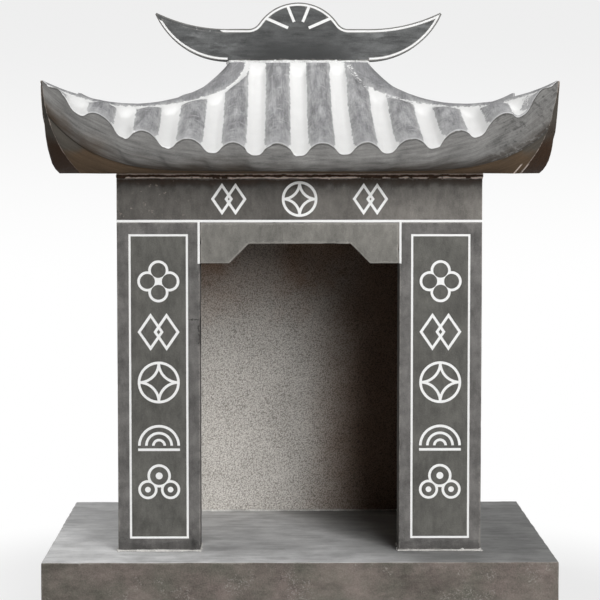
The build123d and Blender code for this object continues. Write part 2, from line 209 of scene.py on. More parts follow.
class Wiring:
    """Adds nodes to a tree and links them."""

    def __init__(self, tree):
        self.tree = tree

    def feed(self, socket, value):
        """Links a value or a socket to a socket, or sets what the socket holds."""
        if isinstance(value, Value):
            value = value.socket
        if isinstance(value, bpy.types.NodeSocket):
            self.tree.links.new(value, socket)
        elif value is not None:
            if socket.type == "RGBA" and len(value) == 3:
                value = (*value, 1.0)
            socket.default_value = value

    def add(self, kind, inputs=(), **settings_of_node):
        node = self.tree.nodes.new(kind)
        for name, value in settings_of_node.items():
            setattr(node, name, value)
        for name, value in dict(inputs).items():
            self.feed(node.inputs[name], value)
        return node

    def result(self, kind, output=0, inputs=(), **settings_of_node):
        """Adds a node and gives one of its outputs."""
        return Value(self, self.add(kind, inputs, **settings_of_node).outputs[output])

    def outputs(self, node):
        """A node's outputs by name."""
        return {socket.name: Value(self, socket) for socket in node.outputs}

    def math(self, operation, *values):
        return self.result("ShaderNodeMath", 0, dict(enumerate(values)), operation=operation)

    def scaled(self, vector, factor):
        return self.result("ShaderNodeVectorMath", 0, {0: vector, "Scale": factor}, operation="SCALE")

    def parts(self, vector):
        return list(self.outputs(self.add("ShaderNodeSeparateXYZ", {0: vector})).values())

    def ramp(self, value, start, end, low=0.0, high=1.0, smooth=True):
        """value's place between start and end, as a number from low to high."""
        inputs = {"Value": value, "From Min": start, "From Max": end, "To Min": low, "To Max": high}
        kind = "SMOOTHSTEP" if smooth else "LINEAR"
        return self.result("ShaderNodeMapRange", 0, inputs, interpolation_type=kind)

    def noise(self, vector, size, detail=2.0, roughness=0.5, signed=True):
        """Noise with features about size across, from -1 to 1 or from 0 to 1."""
        scale = self.math("DIVIDE", 1.0, size)
        inputs = {"Vector": vector, "Scale": scale, "Detail": detail, "Roughness": roughness}
        value = self.result("ShaderNodeTexNoise", 0, inputs)
        return self.ramp(value, 0.3, 0.7, -1.0 if signed else 0.0, 1.0, smooth=False)

    def mix(self, factor, first, second):
        return self.result("ShaderNodeMix", 2, {0: factor, 6: first, 7: second}, data_type="RGBA")

    def named(self, attribute):
        return self.result("ShaderNodeAttribute", "Fac", attribute_name=attribute)

    def group(self, name, inputs):
        """Adds a node group with these inputs and gives its outputs by name."""
        node = self.add("ShaderNodeGroup", node_tree=bpy.data.node_groups[name])
        for label, value in inputs.items():
            self.feed(node.inputs[label], value)
        return self.outputs(node)


KINDS = {
    "value": "NodeSocketFloat",
    "whole": "NodeSocketInt",
    "vector": "NodeSocketVector",
    "colour": "NodeSocketColor",
    "geometry": "NodeSocketGeometry",
    "material": "NodeSocketMaterial",
}


def node_group(name, inputs, outputs, tree="ShaderNodeTree"):
    """A new node group: its wiring, its inputs by name and its output node."""
    group = bpy.data.node_groups.new(name, tree)
    for label, kind, default in inputs:
        socket = group.interface.new_socket(label, in_out="INPUT", socket_type=KINDS[kind])
        if default is not None:
            socket.default_value = default
    for label, kind in outputs:
        group.interface.new_socket(label, in_out="OUTPUT", socket_type=KINDS[kind])
    wires = Wiring(group)
    given = wires.outputs(wires.add("NodeGroupInput"))
    result = wires.add("NodeGroupOutput")
    return wires, given, result


def make_stone_face_group():
    """The body of a stone: blotches, fine grain, pale flecks and brushed streaks."""
    wires, given, result = node_group(
        "Stone Face",
        (
            ("Coordinates", "vector", None),
            ("Cool Tone", "colour", (0.2, 0.2, 0.2, 1)),
            ("Warm Tone", "colour", (0.2, 0.2, 0.2, 1)),
            ("Patch Size", "value", 0.07),
            ("Patch Contrast", "value", 0.1),
            ("Grain Size", "value", 0.0012),
            ("Grain Contrast", "value", 0.1),
            ("Streak Stretch", "vector", (1, 1, 1)),
            ("Streak Size", "value", 0.004),
            ("Streak Contrast", "value", 0.1),
            ("Relief", "value", 0.0001),
        ),
        (("Color", "colour"), ("Roughness", "value"), ("Height", "value")),
    )
    place = given["Coordinates"]
    patches = wires.noise(place, given["Patch Size"], 5, 0.62)
    shifted = place + (3.7, 1.9, 5.3)
    tint = wires.noise(shifted, given["Patch Size"] * 0.55, 4, 0.6, signed=False)
    grain = wires.noise(place, given["Grain Size"], 2, 0.6)
    stretched = place * given["Streak Stretch"]
    streaks = wires.noise(stretched, given["Streak Size"], 4, 0.6)
    bright = patches * given["Patch Contrast"] + 1.0
    bright = grain * given["Grain Contrast"] + bright
    bright = streaks * given["Streak Contrast"] + bright
    flecks = wires.ramp(wires.noise(shifted, given["Grain Size"], 1, 0.5), 0.75, 1.0)
    bright = flecks * given["Grain Contrast"] + bright
    bright = wires.math("MAXIMUM", bright, 0.15)
    body = wires.mix(tint, given["Cool Tone"], given["Warm Tone"])
    wires.feed(result.inputs["Color"], wires.scaled(body, bright))
    rough = patches * 0.06 + 0.66
    wires.feed(result.inputs["Roughness"], grain * 0.05 + rough)
    relief = streaks * 0.5 + grain
    wires.feed(result.inputs["Height"], relief * given["Relief"])


def make_box_arris_group():
    """How far a point of a box's surface is from the box's nearest arris."""
    wires, given, result = node_group(
        "Box Arris",
        (("Coordinates", "vector", None), ("Low Corner", "vector", None), ("High Corner", "vector", None)),
        (("Distance", "value"),),
    )
    above = given["Coordinates"] - given["Low Corner"]
    below = given["High Corner"] - given["Coordinates"]
    x, y, z = wires.parts(wires.result("ShaderNodeVectorMath", 0, {0: above, 1: below}, operation="MINIMUM"))
    lesser = wires.math("MINIMUM", x, y)
    greater = wires.math("MAXIMUM", x, y)
    middle = wires.math("MAXIMUM", lesser, wires.math("MINIMUM", greater, z))
    wires.feed(result.inputs["Distance"], middle)


def make_rubbed_arris_group():
    """A ragged mask that is 1 on an arris and fades out away from it."""
    wires, given, result = node_group(
        "Rubbed Arris",
        (("Coordinates", "vector", None), ("Distance", "value", 0.0), ("Width", "value", 0.002)),
        (("Mask", "value"),),
    )
    broad = wires.noise(given["Coordinates"], 0.03, 3, 0.6)
    fine = wires.noise(given["Coordinates"], 0.003, 3, 0.6)
    ragged = broad * 0.55 + fine * 0.45
    reach = (ragged + 0.9) * given["Width"]
    mask = wires.ramp(reach - given["Distance"], 0.0, 0.0015)
    wires.feed(result.inputs["Mask"], mask)


def make_paint_group():
    """Where a coat of paint covers the stone, from the signed distance to the coat's edge."""
    wires, given, result = node_group(
        "Paint Coat",
        (
            ("Coordinates", "vector", None),
            ("Distance", "value", 0.0),
            ("Raggedness", "value", 0.001),
            ("Loss", "value", 0.0),
        ),
        (("Mask", "value"), ("Shade", "value"), ("Height", "value")),
    )
    place = given["Coordinates"]
    edge = wires.noise(place, 0.006, 4, 0.65)
    ragged = edge * given["Raggedness"] + given["Distance"]
    cover = wires.ramp(ragged, 0.0005, -0.0005)
    thin = wires.noise(place, 0.004, 4, 0.7, signed=False)
    kept = wires.ramp(thin - given["Loss"], -0.05, 0.1)
    mask = cover * kept
    wires.feed(result.inputs["Mask"], mask)
    wires.feed(result.inputs["Shade"], wires.noise(place, 0.02, 4) * 0.02 + 0.98)
    brush = wires.noise(place, 0.0015, 2) * 0.00004 + 0.0003
    wires.feed(result.inputs["Height"], mask * brush)


def make_hammer_group():
    """Bush-hammer marks: pale bruised grains with darker stone between them."""
    wires, given, result = node_group(
        "Hammer Marks",
        (("Coordinates", "vector", None), ("Mark Size", "value", 0.003), ("Depth", "value", 0.0004)),
        (("Mask", "value"), ("Height", "value")),
    )
    place = given["Coordinates"]
    scale = 1.0 / given["Mark Size"]
    stray = wires.noise(place, given["Mark Size"] * 2.0, 2)
    strayed = place + wires.scaled(given["Mark Size"], stray * 0.5)
    cells = wires.result("ShaderNodeTexVoronoi", "Distance", {"Vector": strayed, "Scale": scale})
    rough = wires.noise(place, given["Mark Size"] * 0.7, 3, 0.7)
    bruise = rough * 0.3 + wires.ramp(cells, 0.85, 0.2)
    wires.feed(result.inputs["Mask"], wires.ramp(bruise, -0.2, 1.1, smooth=False))
    wires.feed(result.inputs["Height"], bruise * given["Depth"])


# ---------------------------------------------------------------- materials
MATT = 0.1  # the specular level of dry stone and lime paint


def new_material(name):
    """A material with only its Principled shader: the material, its wiring and the shader."""
    material = bpy.data.materials.new(name)
    material.use_nodes = True
    wires = Wiring(material.node_tree)
    wires.tree.nodes.clear()
    shader = wires.add("ShaderNodeBsdfPrincipled", {"Specular IOR Level": MATT})
    output = wires.add("ShaderNodeOutputMaterial")
    wires.feed(output.inputs["Surface"], shader.outputs[0])
    return material, wires, shader


def finish_material(wires, shader, colour_out, roughness, height):
    bump = wires.add("ShaderNodeBump", {"Strength": 1.0, "Distance": 1.0, "Height": height})
    wires.feed(shader.inputs["Base Color"], colour_out)
    wires.feed(shader.inputs["Roughness"], roughness)
    wires.feed(shader.inputs["Normal"], bump.outputs[0])


def object_place(wires):
    return wires.result("ShaderNodeTexCoord", "Object")


HONED = {
    "Patch Size": 0.05,
    "Patch Contrast": 0.24,
    "Grain Size": 0.0015,
    "Grain Contrast": 0.12,
    "Streak Stretch": (1.0, 1.0, 0.4),
    "Streak Size": 0.006,
    "Streak Contrast": 0.17,
    "Relief": 0.00005,
}


def stone_face(wires, place, cool, warm, look):
    """The colour, roughness and height of stone between two tones."""
    tones = {"Cool Tone": cool, "Warm Tone": warm}
    return wires.group("Stone Face", {"Coordinates": place, **tones, **look})


def rub(wires, place, base, distance, width=None, tone=None, strength=0.3):
    """Mixes the pale worn stone into base near the arrises."""
    inputs = {"Coordinates": place, "Distance": distance}
    inputs["Width"] = width or settings().wear.wear_width
    mask = wires.group("Rubbed Arris", inputs)["Mask"]
    return wires.mix(mask * strength, base, tone or settings().colours.worn)


def stone_material(name, cool, warm, box=None, look=HONED, extra=None):
    """Stone that is rubbed pale along its arrises. extra, if given, changes the colour further.

    box is a squared slab's. Without it, the piece's points carry "away", how far they are from an arris.
    """
    material, wires, shader = new_material(name)
    place = object_place(wires)
    face = stone_face(wires, place, cool, warm, look)
    base = face["Color"]
    if extra:
        base = extra(wires, place, base)
    if box:
        corners = {"Coordinates": place, "Low Corner": box[0], "High Corner": box[1]}
        away = wires.group("Box Arris", corners)["Distance"]
    else:
        away = wires.named("away")
    base = rub(wires, place, base, away)
    finish_material(wires, shader, base, face["Roughness"], face["Height"])
    return material


def tinted(colour_value, factor):
    return tuple(part * factor for part in colour_value)


# ---------------------------------------------------------------- meshes
def waver(points, size, seed):
    """Smooth random values from -1 to 1 at the points, changing over about size."""
    table_side = 32
    table = np.random.default_rng(seed).uniform(-1, 1, (table_side,) * 3)
    scaled = points / size
    low = np.floor(scaled).astype(int)
    share = scaled - low
    share = share * share * (3 - 2 * share)
    value = np.zeros(len(points))
    for corner in product((0, 1), repeat=3):
        weight = np.prod(np.where(corner, share, 1 - share), axis=1)
        value += weight * table[tuple(((low + corner) % table_side).T)]
    return value


def smooth_step(value, start, end):
    share = np.clip((value - start) / (end - start), 0, 1)
    return share * share * (3 - 2 * share)


def grid_faces(rows, columns, closed=False):
    """Quads between neighbouring rows and columns of points, around once more where closed."""
    across = columns if closed else columns - 1
    low, column = np.meshgrid(np.arange(rows - 1), np.arange(across), indexing="ij")
    after = (column + 1) % columns
    quads = (low * columns + column, low * columns + after)
    quads += ((low + 1) * columns + after, (low + 1) * columns + column)
    return np.stack(quads, axis=-1).reshape(-1, 4)


def placed(name, data):
    """A new object in the scene."""
    thing = bpy.data.objects.new(name, data)
    bpy.context.scene.collection.objects.link(thing)
    return thing


def make_piece(name, points, faces, merge=False):
    """A mesh object from points and faces, with its faces outward."""
    mesh = bpy.data.meshes.new(name)
    mesh.from_pydata(points, [], faces)
    if merge:
        shape = bmesh.new()
        shape.from_mesh(mesh)
        bmesh.ops.remove_doubles(shape, verts=shape.verts, dist=WELD)
        bmesh.ops.recalc_face_normals(shape, faces=shape.faces)
        shape.to_mesh(mesh)
        shape.free()
    mesh.update()
    return placed(name, mesh)


# How far apart the points of each kind of slab are, away from its arrises.
PLINTH_STEP, SLAB_STEP, WALL_STEP, MORTAR_STEP = 6 * MM, 4 * MM, 3.6 * MM, 2.5 * MM
SHORT_ROWS = 7  # rows of points along an edge that is too short for more
BED_FACES = ((2, 0), (2, 1))  # a slab's foot and top, as (axis, 0 for low or 1 for high)
ARRIS_ROWS = (0.0, 0.4, 0.9, 1.5, 2.3, 3.4, 5.0, 7.5)  # mm in from an arris


def slab_rows(low, high, step):
    """Places from low to high, close together near both ends."""
    near = np.array(ARRIS_ROWS) * MM
    if high - low < 2.5 * near[-1]:
        return np.linspace(low, high, SHORT_ROWS)
    count = max(2, round((high - low - 2 * near[-1]) / step) + 1)
    inner = np.linspace(low + near[-1], high - near[-1], count)
    return np.concatenate((low + near[:-1], inner, (high - near[:-1])[::-1]))


def worn_box(box, step, arris, chip, unevenness, seed, joined=(), lumps=0.0):
    """Points and faces of a squared slab whose arrises are rounded and chipped.

    joined lists the faces that meet another slab, as (axis, 0 for low or 1 for high): arrises stay sharper
    there. lumps swells the surface outwards here and there.
    """
    low, high = np.array(box[0]), np.array(box[1])
    rows = [slab_rows(low[axis], high[axis], step) for axis in range(3)]
    points, faces = [], []
    for axis in range(3):
        first, second = [other for other in range(3) if other != axis]
        for end in (low[axis], high[axis]):
            grid = np.zeros((len(rows[first]), len(rows[second]), 3))
            grid[..., axis] = end
            grid[..., first] = rows[first][:, None]
            grid[..., second] = rows[second][None, :]
            faces.append(grid_faces(*grid.shape[:2]) + sum(len(part) for part in points))
            points.append(grid.reshape(-1, 3))
    points = np.concatenate(points)
    sharper = np.zeros(len(points))
    for axis, end in joined:
        gap = np.abs(points[:, axis] - (low, high)[end][axis])
        sharper = np.maximum(sharper, 1 - smooth_step(gap, 1.5 * MM, 9 * MM))
    wander = 1 + 0.45 * waver(points, 22 * MM, seed) + 0.25 * waver(points, 6 * MM, seed + 1)
    bites = smooth_step(waver(points, 11 * MM, seed + 2), 0.5, 0.85)
    bites = bites * (0.6 + 0.4 * waver(points, 4 * MM, seed + 3))
    radius = arris * wander * (1 - 0.75 * sharper) + chip * bites * (1 - sharper)
    radius = np.clip(radius, 0.15 * MM, (high - low).min() / 2.2)[:, None]
    core = np.clip(points, low + radius, high - radius)
    out = points - core
    out /= np.maximum(np.linalg.norm(out, axis=1), 1e-9)[:, None]
    dip = 0.5 + 0.35 * waver(points, 70 * MM, seed + 4) + 0.15 * waver(points, 15 * MM, seed + 5)
    swell = lumps * (0.3 + 0.5 * waver(points, 9 * MM, seed + 6) + 0.4 * waver(points, 3.5 * MM, seed + 7))
    points = core + out * (radius + (swell - unevenness * dip)[:, None])
    return points, np.concatenate(faces)


def worn_slab(name, box, step, seed):
    """A slab or beam that stands between two others, as worn as chosen."""
    wear = settings().wear
    shell = worn_box(box, step, wear.arris, wear.chip, wear.unevenness, seed, joined=BED_FACES)
    return make_piece(name, *shell, merge=True)


def joined_shells(shells):
    """Points and faces of several shells as one list each."""
    points, faces, start = [], [], 0
    for shell_points, shell_faces in shells:
        points.append(shell_points)
        faces.append(np.array(shell_faces) + start)
        start += len(shell_points)
    return np.concatenate(points), np.concatenate(faces)


def finish_piece(piece, materials, replaced, sharp=40):
    """Shades a finished piece and ties it to the frame."""
    for material in materials:
        if material.name not in piece.data.materials:
            piece.data.materials.append(material)
    piece.data.shade_smooth()
    piece.data.set_sharp_from_angle(angle=radians(sharp))
    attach(piece, ROOT)
    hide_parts(*replaced)


def plain_mesh(piece):
    """Turns a piece's modifiers into plain mesh."""
    depsgraph = bpy.context.evaluated_depsgraph_get()
    mesh = bpy.data.meshes.new_from_object(
        piece.evaluated_get(depsgraph), preserve_all_data_layers=True, depsgraph=depsgraph
    )
    before = piece.data
    piece.modifiers.clear()
    piece.data = mesh
    bpy.data.meshes.remove(before)
    mesh.name = piece.name


CUTTER_REACH = 3 * MM  # how far a groove cutter stands in front of the stone
FLAT_ANGLE = radians(0.5)  # faces that meet at less than this become one


def groove_cutter(nodes, front_y):
    """One object of the paint fillings in these nodes, drawn out to stand in front of the stone."""
    shape = bmesh.new()
    for node in nodes:
        shape.from_mesh(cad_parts[node].data)
        paint_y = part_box(node)[0].y
        for vertex in shape.verts:
            if abs(vertex.co.y - paint_y) < LEVEL:
                vertex.co.y = front_y - CUTTER_REACH
    bmesh.ops.remove_doubles(shape, verts=shape.verts, dist=WELD)
    bmesh.ops.dissolve_limit(shape, angle_limit=FLAT_ANGLE, verts=shape.verts, edges=shape.edges)
    bmesh.ops.recalc_face_normals(shape, faces=shape.faces)
    mesh = bpy.data.meshes.new("groove_cutter")
    shape.to_mesh(mesh)
    shape.free()
    return placed("groove_cutter", mesh)


def cut_grooves(piece, nodes):
    """Cuts the grooves that hold the paint of these nodes into a piece's front."""
    front_y = min(vertex.co.y for vertex in piece.data.vertices)
    cutter = groove_cutter(nodes, front_y)
    boolean = piece.modifiers.new("grooves", "BOOLEAN")
    boolean.operation = "DIFFERENCE"
    boolean.solver = "MANIFOLD"
    boolean.object = cutter
    plain_mesh(piece)
    piece.data.materials.clear()
    piece.data.polygons.foreach_set("material_index", [0] * len(piece.data.polygons))
    if "custom_normal" in piece.data.attributes:
        piece.data.attributes.remove(piece.data.attributes["custom_normal"])
    mesh = cutter.data
    bpy.data.objects.remove(cutter)
    bpy.data.meshes.remove(mesh)


# ---------------------------------------------------------------- geometry node trees
def geometry_group(name, inputs):
    """A new geometry node group that changes a mesh."""
    mesh = ("Geometry", "geometry")
    wires, given, result = node_group(name, ((*mesh, None), *inputs), (mesh,), "GeometryNodeTree")
    wires.tree.is_modifier = True
    return wires, given, result


def run_geometry_group(piece, name, values):
    """Runs a geometry node group on a piece with these inputs and keeps the result as plain mesh."""
    modifier = piece.modifiers.new(name, "NODES")
    modifier.node_group = bpy.data.node_groups[name]
    for item in modifier.node_group.interface.items_tree:
        if item.item_type == "SOCKET" and item.in_out == "INPUT" and item.name in values:
            modifier[item.identifier] = values[item.name]
    plain_mesh(piece)


def field(wires, name, data_type="FLOAT"):
    return wires.result("GeometryNodeInputNamedAttribute", "Attribute", {"Name": name}, data_type=data_type)


def chance(wires, low, high, seed, identity=None):
    """A random number from low to high, one for each point or each identity."""
    inputs = {2: low, 3: high, 8: seed}
    if identity is not None:
        inputs[7] = identity
    return wires.result("FunctionNodeRandomValue", 1, inputs, data_type="FLOAT")


def stored(wires, geometry, name, value):
    inputs = {"Geometry": geometry, "Name": name, "Value": value}
    return wires.result("GeometryNodeStoreNamedAttribute", 0, inputs, data_type="FLOAT", domain="POINT")


def moved(wires, geometry, offset):
    return wires.result("GeometryNodeSetPosition", 0, {"Geometry": geometry, "Offset": offset})


def with_materials(wires, geometry, given, labels):
    """Realizes instances and gives the faces of each zone, counted from 0, their material."""
    geometry = wires.result("GeometryNodeRealizeInstances", 0, {0: geometry})
    for zone, label in enumerate(labels):
        inputs = {"Geometry": geometry, "Material": given[label]}
        if zone:
            same = wires.add("FunctionNodeCompare", {0: field(wires, "zone"), 1: float(zone)})
            same.operation = "EQUAL"
            same.inputs["Epsilon"].default_value = 0.1
            inputs["Selection"] = same.outputs[0]
        geometry = wires.result("GeometryNodeSetMaterial", 0, inputs)
    return geometry


ZONES = ("Rolls", "Fascia", "Underside", "Corners")  # the parts of the roof stone that look different
ROLLS, FASCIA, UNDERSIDE, CORNERS = range(len(ZONES))


def make_flutes_tree():
    """Raises rolls and sinks troughs into a smooth roof.

    The roof's points carry "line", the distance across the flutes, "fluting", how much of the flutes' height
    each point takes, "lift", the way it moves, "edge", 1 on an arris, and "side", a number for each slope.
    """
    wires, given, result = geometry_group(
        "Roof Flutes",
        (
            ("Pitch", "value", 0.05),
            ("Crest", "value", 0.006),
            ("Trough", "value", 0.006),
            ("Sway", "value", 0.001),
            ("Unevenness", "value", 0.0003),
            ("Chips", "value", 0.003),
            ("Seed", "whole", 1),
            *((zone, "material", None) for zone in ZONES),
        ),
    )
    line, side = field(wires, "line"), field(wires, "side")
    count = wires.math("ROUND", line / given["Pitch"])
    identity = side * 40.0 + (count + 20.0)
    sway = chance(wires, -1.0, 1.0, given["Seed"], identity) * given["Sway"]
    centre = count * given["Pitch"] + sway
    from_trough = abs(line - centre)
    turn = from_trough * (2 * np.pi) / given["Pitch"]
    wave = wires.math("COSINE", wires.math("MINIMUM", turn, np.pi)) * -1.0
    bulge = 1.0 - wave * wave
    wave = bulge * 0.25 + wave
    later = given["Seed"] + 1.0
    depth = chance(wires, 0.86, 1.14, later, identity) * given["Trough"]
    rise = wires.math("MAXIMUM", wave, 0.0) * given["Crest"]
    sunk = wires.math("POWER", 1.0 + wires.math("MINIMUM", wave, 0.0), 1.7)
    rise = (sunk - 1.0) * depth + rise
    rise = rise * field(wires, "fluting")
    geometry = stored(wires, given["Geometry"], "from_trough", from_trough)
    geometry = stored(wires, geometry, "rise", rise)
    geometry = moved(wires, geometry, wires.scaled(field(wires, "lift", "FLOAT_VECTOR"), rise))
    place = wires.result("GeometryNodeInputPosition", 0)
    normal = wires.result("GeometryNodeInputNormal", 0)
    broad = wires.noise(place, 0.03, 3)
    bites = wires.ramp(wires.noise(place, 0.009, 2), 0.45, 1.0)
    loss = bites * given["Chips"] * field(wires, "edge")
    swell = broad * given["Unevenness"] - loss
    geometry = moved(wires, geometry, wires.scaled(normal, swell))
    geometry = with_materials(wires, geometry, given, ZONES)
    wires.feed(result.inputs[0], geometry)


def make_hammering_tree():
    """Dents the faces whose points carry "hammered" with overlapping hammer marks."""
    wires, given, result = geometry_group(
        "Hammered Face",
        (
            ("Mark", "value", 0.003),
            ("Depth", "value", 0.0004),
            ("Seed", "whole", 1),
            ("Stone", "material", None),
        ),
    )
    place = wires.result("GeometryNodeInputPosition", 0)
    place = place + given["Seed"] * 0.37
    marks = wires.noise(place, given["Mark"] * 1.6, 2, 0.6)
    broad = wires.noise(place, given["Mark"] * 9.0, 2)
    dent = broad * 0.8 + marks
    depth = field(wires, "hammered") * given["Depth"]
    dent = (dent * 0.5 - 0.5) * depth
    normal = wires.result("GeometryNodeInputNormal", 0)
    geometry = moved(wires, given["Geometry"], wires.scaled(normal, dent))
    wires.feed(result.inputs[0], with_materials(wires, geometry, given, ("Stone",)))


def make_lumps_tree():
    """Scatters small flattened lumps of mortar over a bed where its points carry "lumpy"."""
    wires, given, result = geometry_group(
        "Mortar Lumps",
        (
            ("Density", "value", 1000.0),
            ("Smallest", "value", 0.0005),
            ("Largest", "value", 0.0015),
            ("Seed", "whole", 1),
            ("Mortar", "material", None),
        ),
    )
    density = field(wires, "lumpy") * given["Density"]
    inputs = {"Mesh": given["Geometry"], "Density": density, "Seed": given["Seed"]}
    spread = wires.add("GeometryNodeDistributePointsOnFaces", inputs)
    lump = wires.result("GeometryNodeMeshIcoSphere", 0, {"Radius": 1.0, "Subdivisions": 2})
    radius = chance(wires, given["Smallest"], given["Largest"], given["Seed"])
    flat = wires.add("ShaderNodeCombineXYZ", {0: radius, 1: radius, 2: radius * 0.7})
    inputs = {
        "Points": spread.outputs["Points"],
        "Instance": lump,
        "Rotation": spread.outputs["Rotation"],
        "Scale": flat.outputs[0],
    }
    lumps = wires.result("GeometryNodeInstanceOnPoints", 0, inputs)
    both = wires.add("GeometryNodeJoinGeometry")
    for part in (lumps, given["Geometry"]):
        wires.feed(both.inputs[0], part)
    wires.feed(result.inputs[0], with_materials(wires, both.outputs[0], given, ("Mortar",)))


def point_attribute(piece, name, values):
    """Stores one number or one vector for each point of a piece."""
    kind, field_name = ("FLOAT", "value") if np.ndim(values) == 1 else ("FLOAT_VECTOR", "vector")
    attribute = piece.data.attributes.new(name, kind, "POINT")
    attribute.data.foreach_set(field_name, np.asarray(values, np.float32).ravel())


def mesh_points(piece):
    points = np.zeros(len(piece.data.vertices) * 3)
    piece.data.vertices.foreach_get("co", points)
    return points.reshape(-1, 3)


# ---------------------------------------------------------------- operators
class ShrinePiece(bpy.types.Operator):
    """One step of building the shrine."""

    bl_options = {"REGISTER", "UNDO"}

    def execute(self, context):
        self.build(context.scene.shrine)
        return {"FINISHED"}


SAWN = {**HONED, "Patch Size": 0.08, "Patch Contrast": 0.3, "Grain Size": 0.0017, "Grain Contrast": 0.16}


class SHRINE_OT_plinth(ShrinePiece):
    """Builds the worn plinth slab with its brushed top"""

    bl_idname = "shrine.plinth"
    bl_label = "Plinth"

    def build(self, chosen):
        wear, colours = chosen.wear, chosen.colours

        def brushed_top(wires, place, base):
            """The sides are banded and speckled. The top turns paler towards its left and front: this is
            dust, and also painted light for the light that falls more on its left.
            """
            x, y, _ = wires.parts(place)
            # Dust and painted light: the top is paler towards its left and front.
            dusty = wires.noise(place, 0.1, 3) * (30 * MM) + x + y * 0.35
            tone = wires.mix(wires.ramp(dusty, 90 * MM, 10 * MM), colours.plinth_top, colours.plinth_dust)
            brushed = {
                **HONED,
                "Grain Contrast": 0.05,
                "Streak Stretch": (0.22, 1.0, 1.0),
                "Streak Size": 0.013,
                "Streak Contrast": 0.14,
            }
            cool, warm = wires.scaled(tone, 0.92), wires.scaled(tone, 1.06)
            top = stone_face(wires, place, cool, warm, brushed)["Color"]
            sweep = wires.noise(place * (0.25, 1.0, 1.0), 0.03, 4, 0.6)
            base = wires.mix(wires.ramp(sweep, 0.15, 0.9), base, wires.scaled(base, 0.72))
            specks = wires.ramp(wires.noise(place, 0.0022, 2, 0.7), 0.15, 0.6)
            patches = wires.ramp(wires.noise(place, 0.035, 4, 0.65), 0.1, 0.5)
            base = wires.mix(specks * patches * 0.4, base, colours.worn)
            up = wires.parts(wires.result("ShaderNodeNewGeometry", "Normal"))[2]
            return wires.mix(wires.ramp(up, 0.6, 0.9), base, top)

        box = (plinth_low, plinth_high)
        look = {**SAWN, "Patch Contrast": 0.24, "Streak Stretch": (0.5, 1.0, 1.0)}
        stone = stone_material("plinth stone", colours.plinth_cool, colours.plinth, box, look, brushed_top)
        shell = worn_box(box, PLINTH_STEP, 1.6 * wear.arris, 1.5 * wear.chip, wear.unevenness, wear.seed)
        finish_piece(make_piece("worn_plinth", *shell, merge=True), [stone], ["plinth"])


CRACK_HEIGHT = 368 * MM  # where the left pillar's crack is
CRACK_DROP = 40 * MM  # how far it runs down the arris


class SHRINE_OT_pillars(ShrinePiece):
    """Builds both pillars with the grooves of their panels"""

    bl_idname = "shrine.pillars"
    bl_label = "Pillars"

    def build(self, chosen):
        wear, colours = chosen.wear, chosen.colours
        for name, side in SIDES:
            border_low, border_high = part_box(f"{name}_panel_border")
            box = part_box(f"{name}_pillar")

            def crack(wires, place):
                """A fine crack across the inner margin that turns down along the arris."""
                x, _, z = wires.parts(place)
                wander = wires.noise(place, 0.008, 4, 0.7) * (2.5 * MM)
                level = z + wander - CRACK_HEIGHT
                across = wires.ramp(abs(level), 1.0 * MM, 0.3 * MM) * (x > border_high.x)
                inward = box[1].x - (x + wander)
                down = wires.ramp(inward, 2.2 * MM, 1.2 * MM) * wires.ramp(level, 0.5 * MM, 0.0)
                down = down * wires.ramp(level, -CRACK_DROP, -0.6 * CRACK_DROP)
                return wires.math("MAXIMUM", across, down) * 0.85

            def blotched_margin(wires, place, base):
                """Outside its border a pillar is lighter and more blotched than in its panel."""
                x, _, z = wires.parts(place)
                inside = (x > border_low.x) * (x < border_high.x) * (z > border_low.z) * (z < border_high.z)
                look = {**HONED, "Patch Size": 0.03, "Patch Contrast": 0.3}
                cool, warm = (tinted(colours.margin, part * painted_lighting) for part in (0.82, 1.1))
                margin = stone_face(wires, place, cool, warm, look)["Color"]
                damp = wires.noise(place * (0.3, 1.0, 1.0), 0.012, 3, 0.6) * (7 * MM) + z
                damp = wires.ramp(damp, border_low.z, border_low.z - 9 * MM) * 0.55
                margin = wires.mix(damp, margin, wires.scaled(margin, 0.35))
                if side < 0:
                    margin = wires.mix(crack(wires, place), margin, wires.scaled(margin, 0.2))
                return wires.mix(inside, margin, base)

            # Painted light: the left pillar is a little darker and the right one a little lighter, as the key
            # lamp on the right lights them.
            painted_lighting = 0.98 if side < 0 else 1.01
            cool, warm = (tinted(colours.pillar, part * painted_lighting) for part in (0.9, 1.08))
            stone = stone_material(f"{name} pillar stone", cool, warm, box, HONED, blotched_margin)
            piece = worn_slab(f"worn_{name}_pillar", box, SLAB_STEP, wear.seed + 20 + side)
            panels = [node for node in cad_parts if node.startswith(f"{name}_panel")]
            cut_grooves(piece, [*panels, f"{name}_jamb_line"])
            finish_piece(piece, [stone], [f"{name}_pillar"])


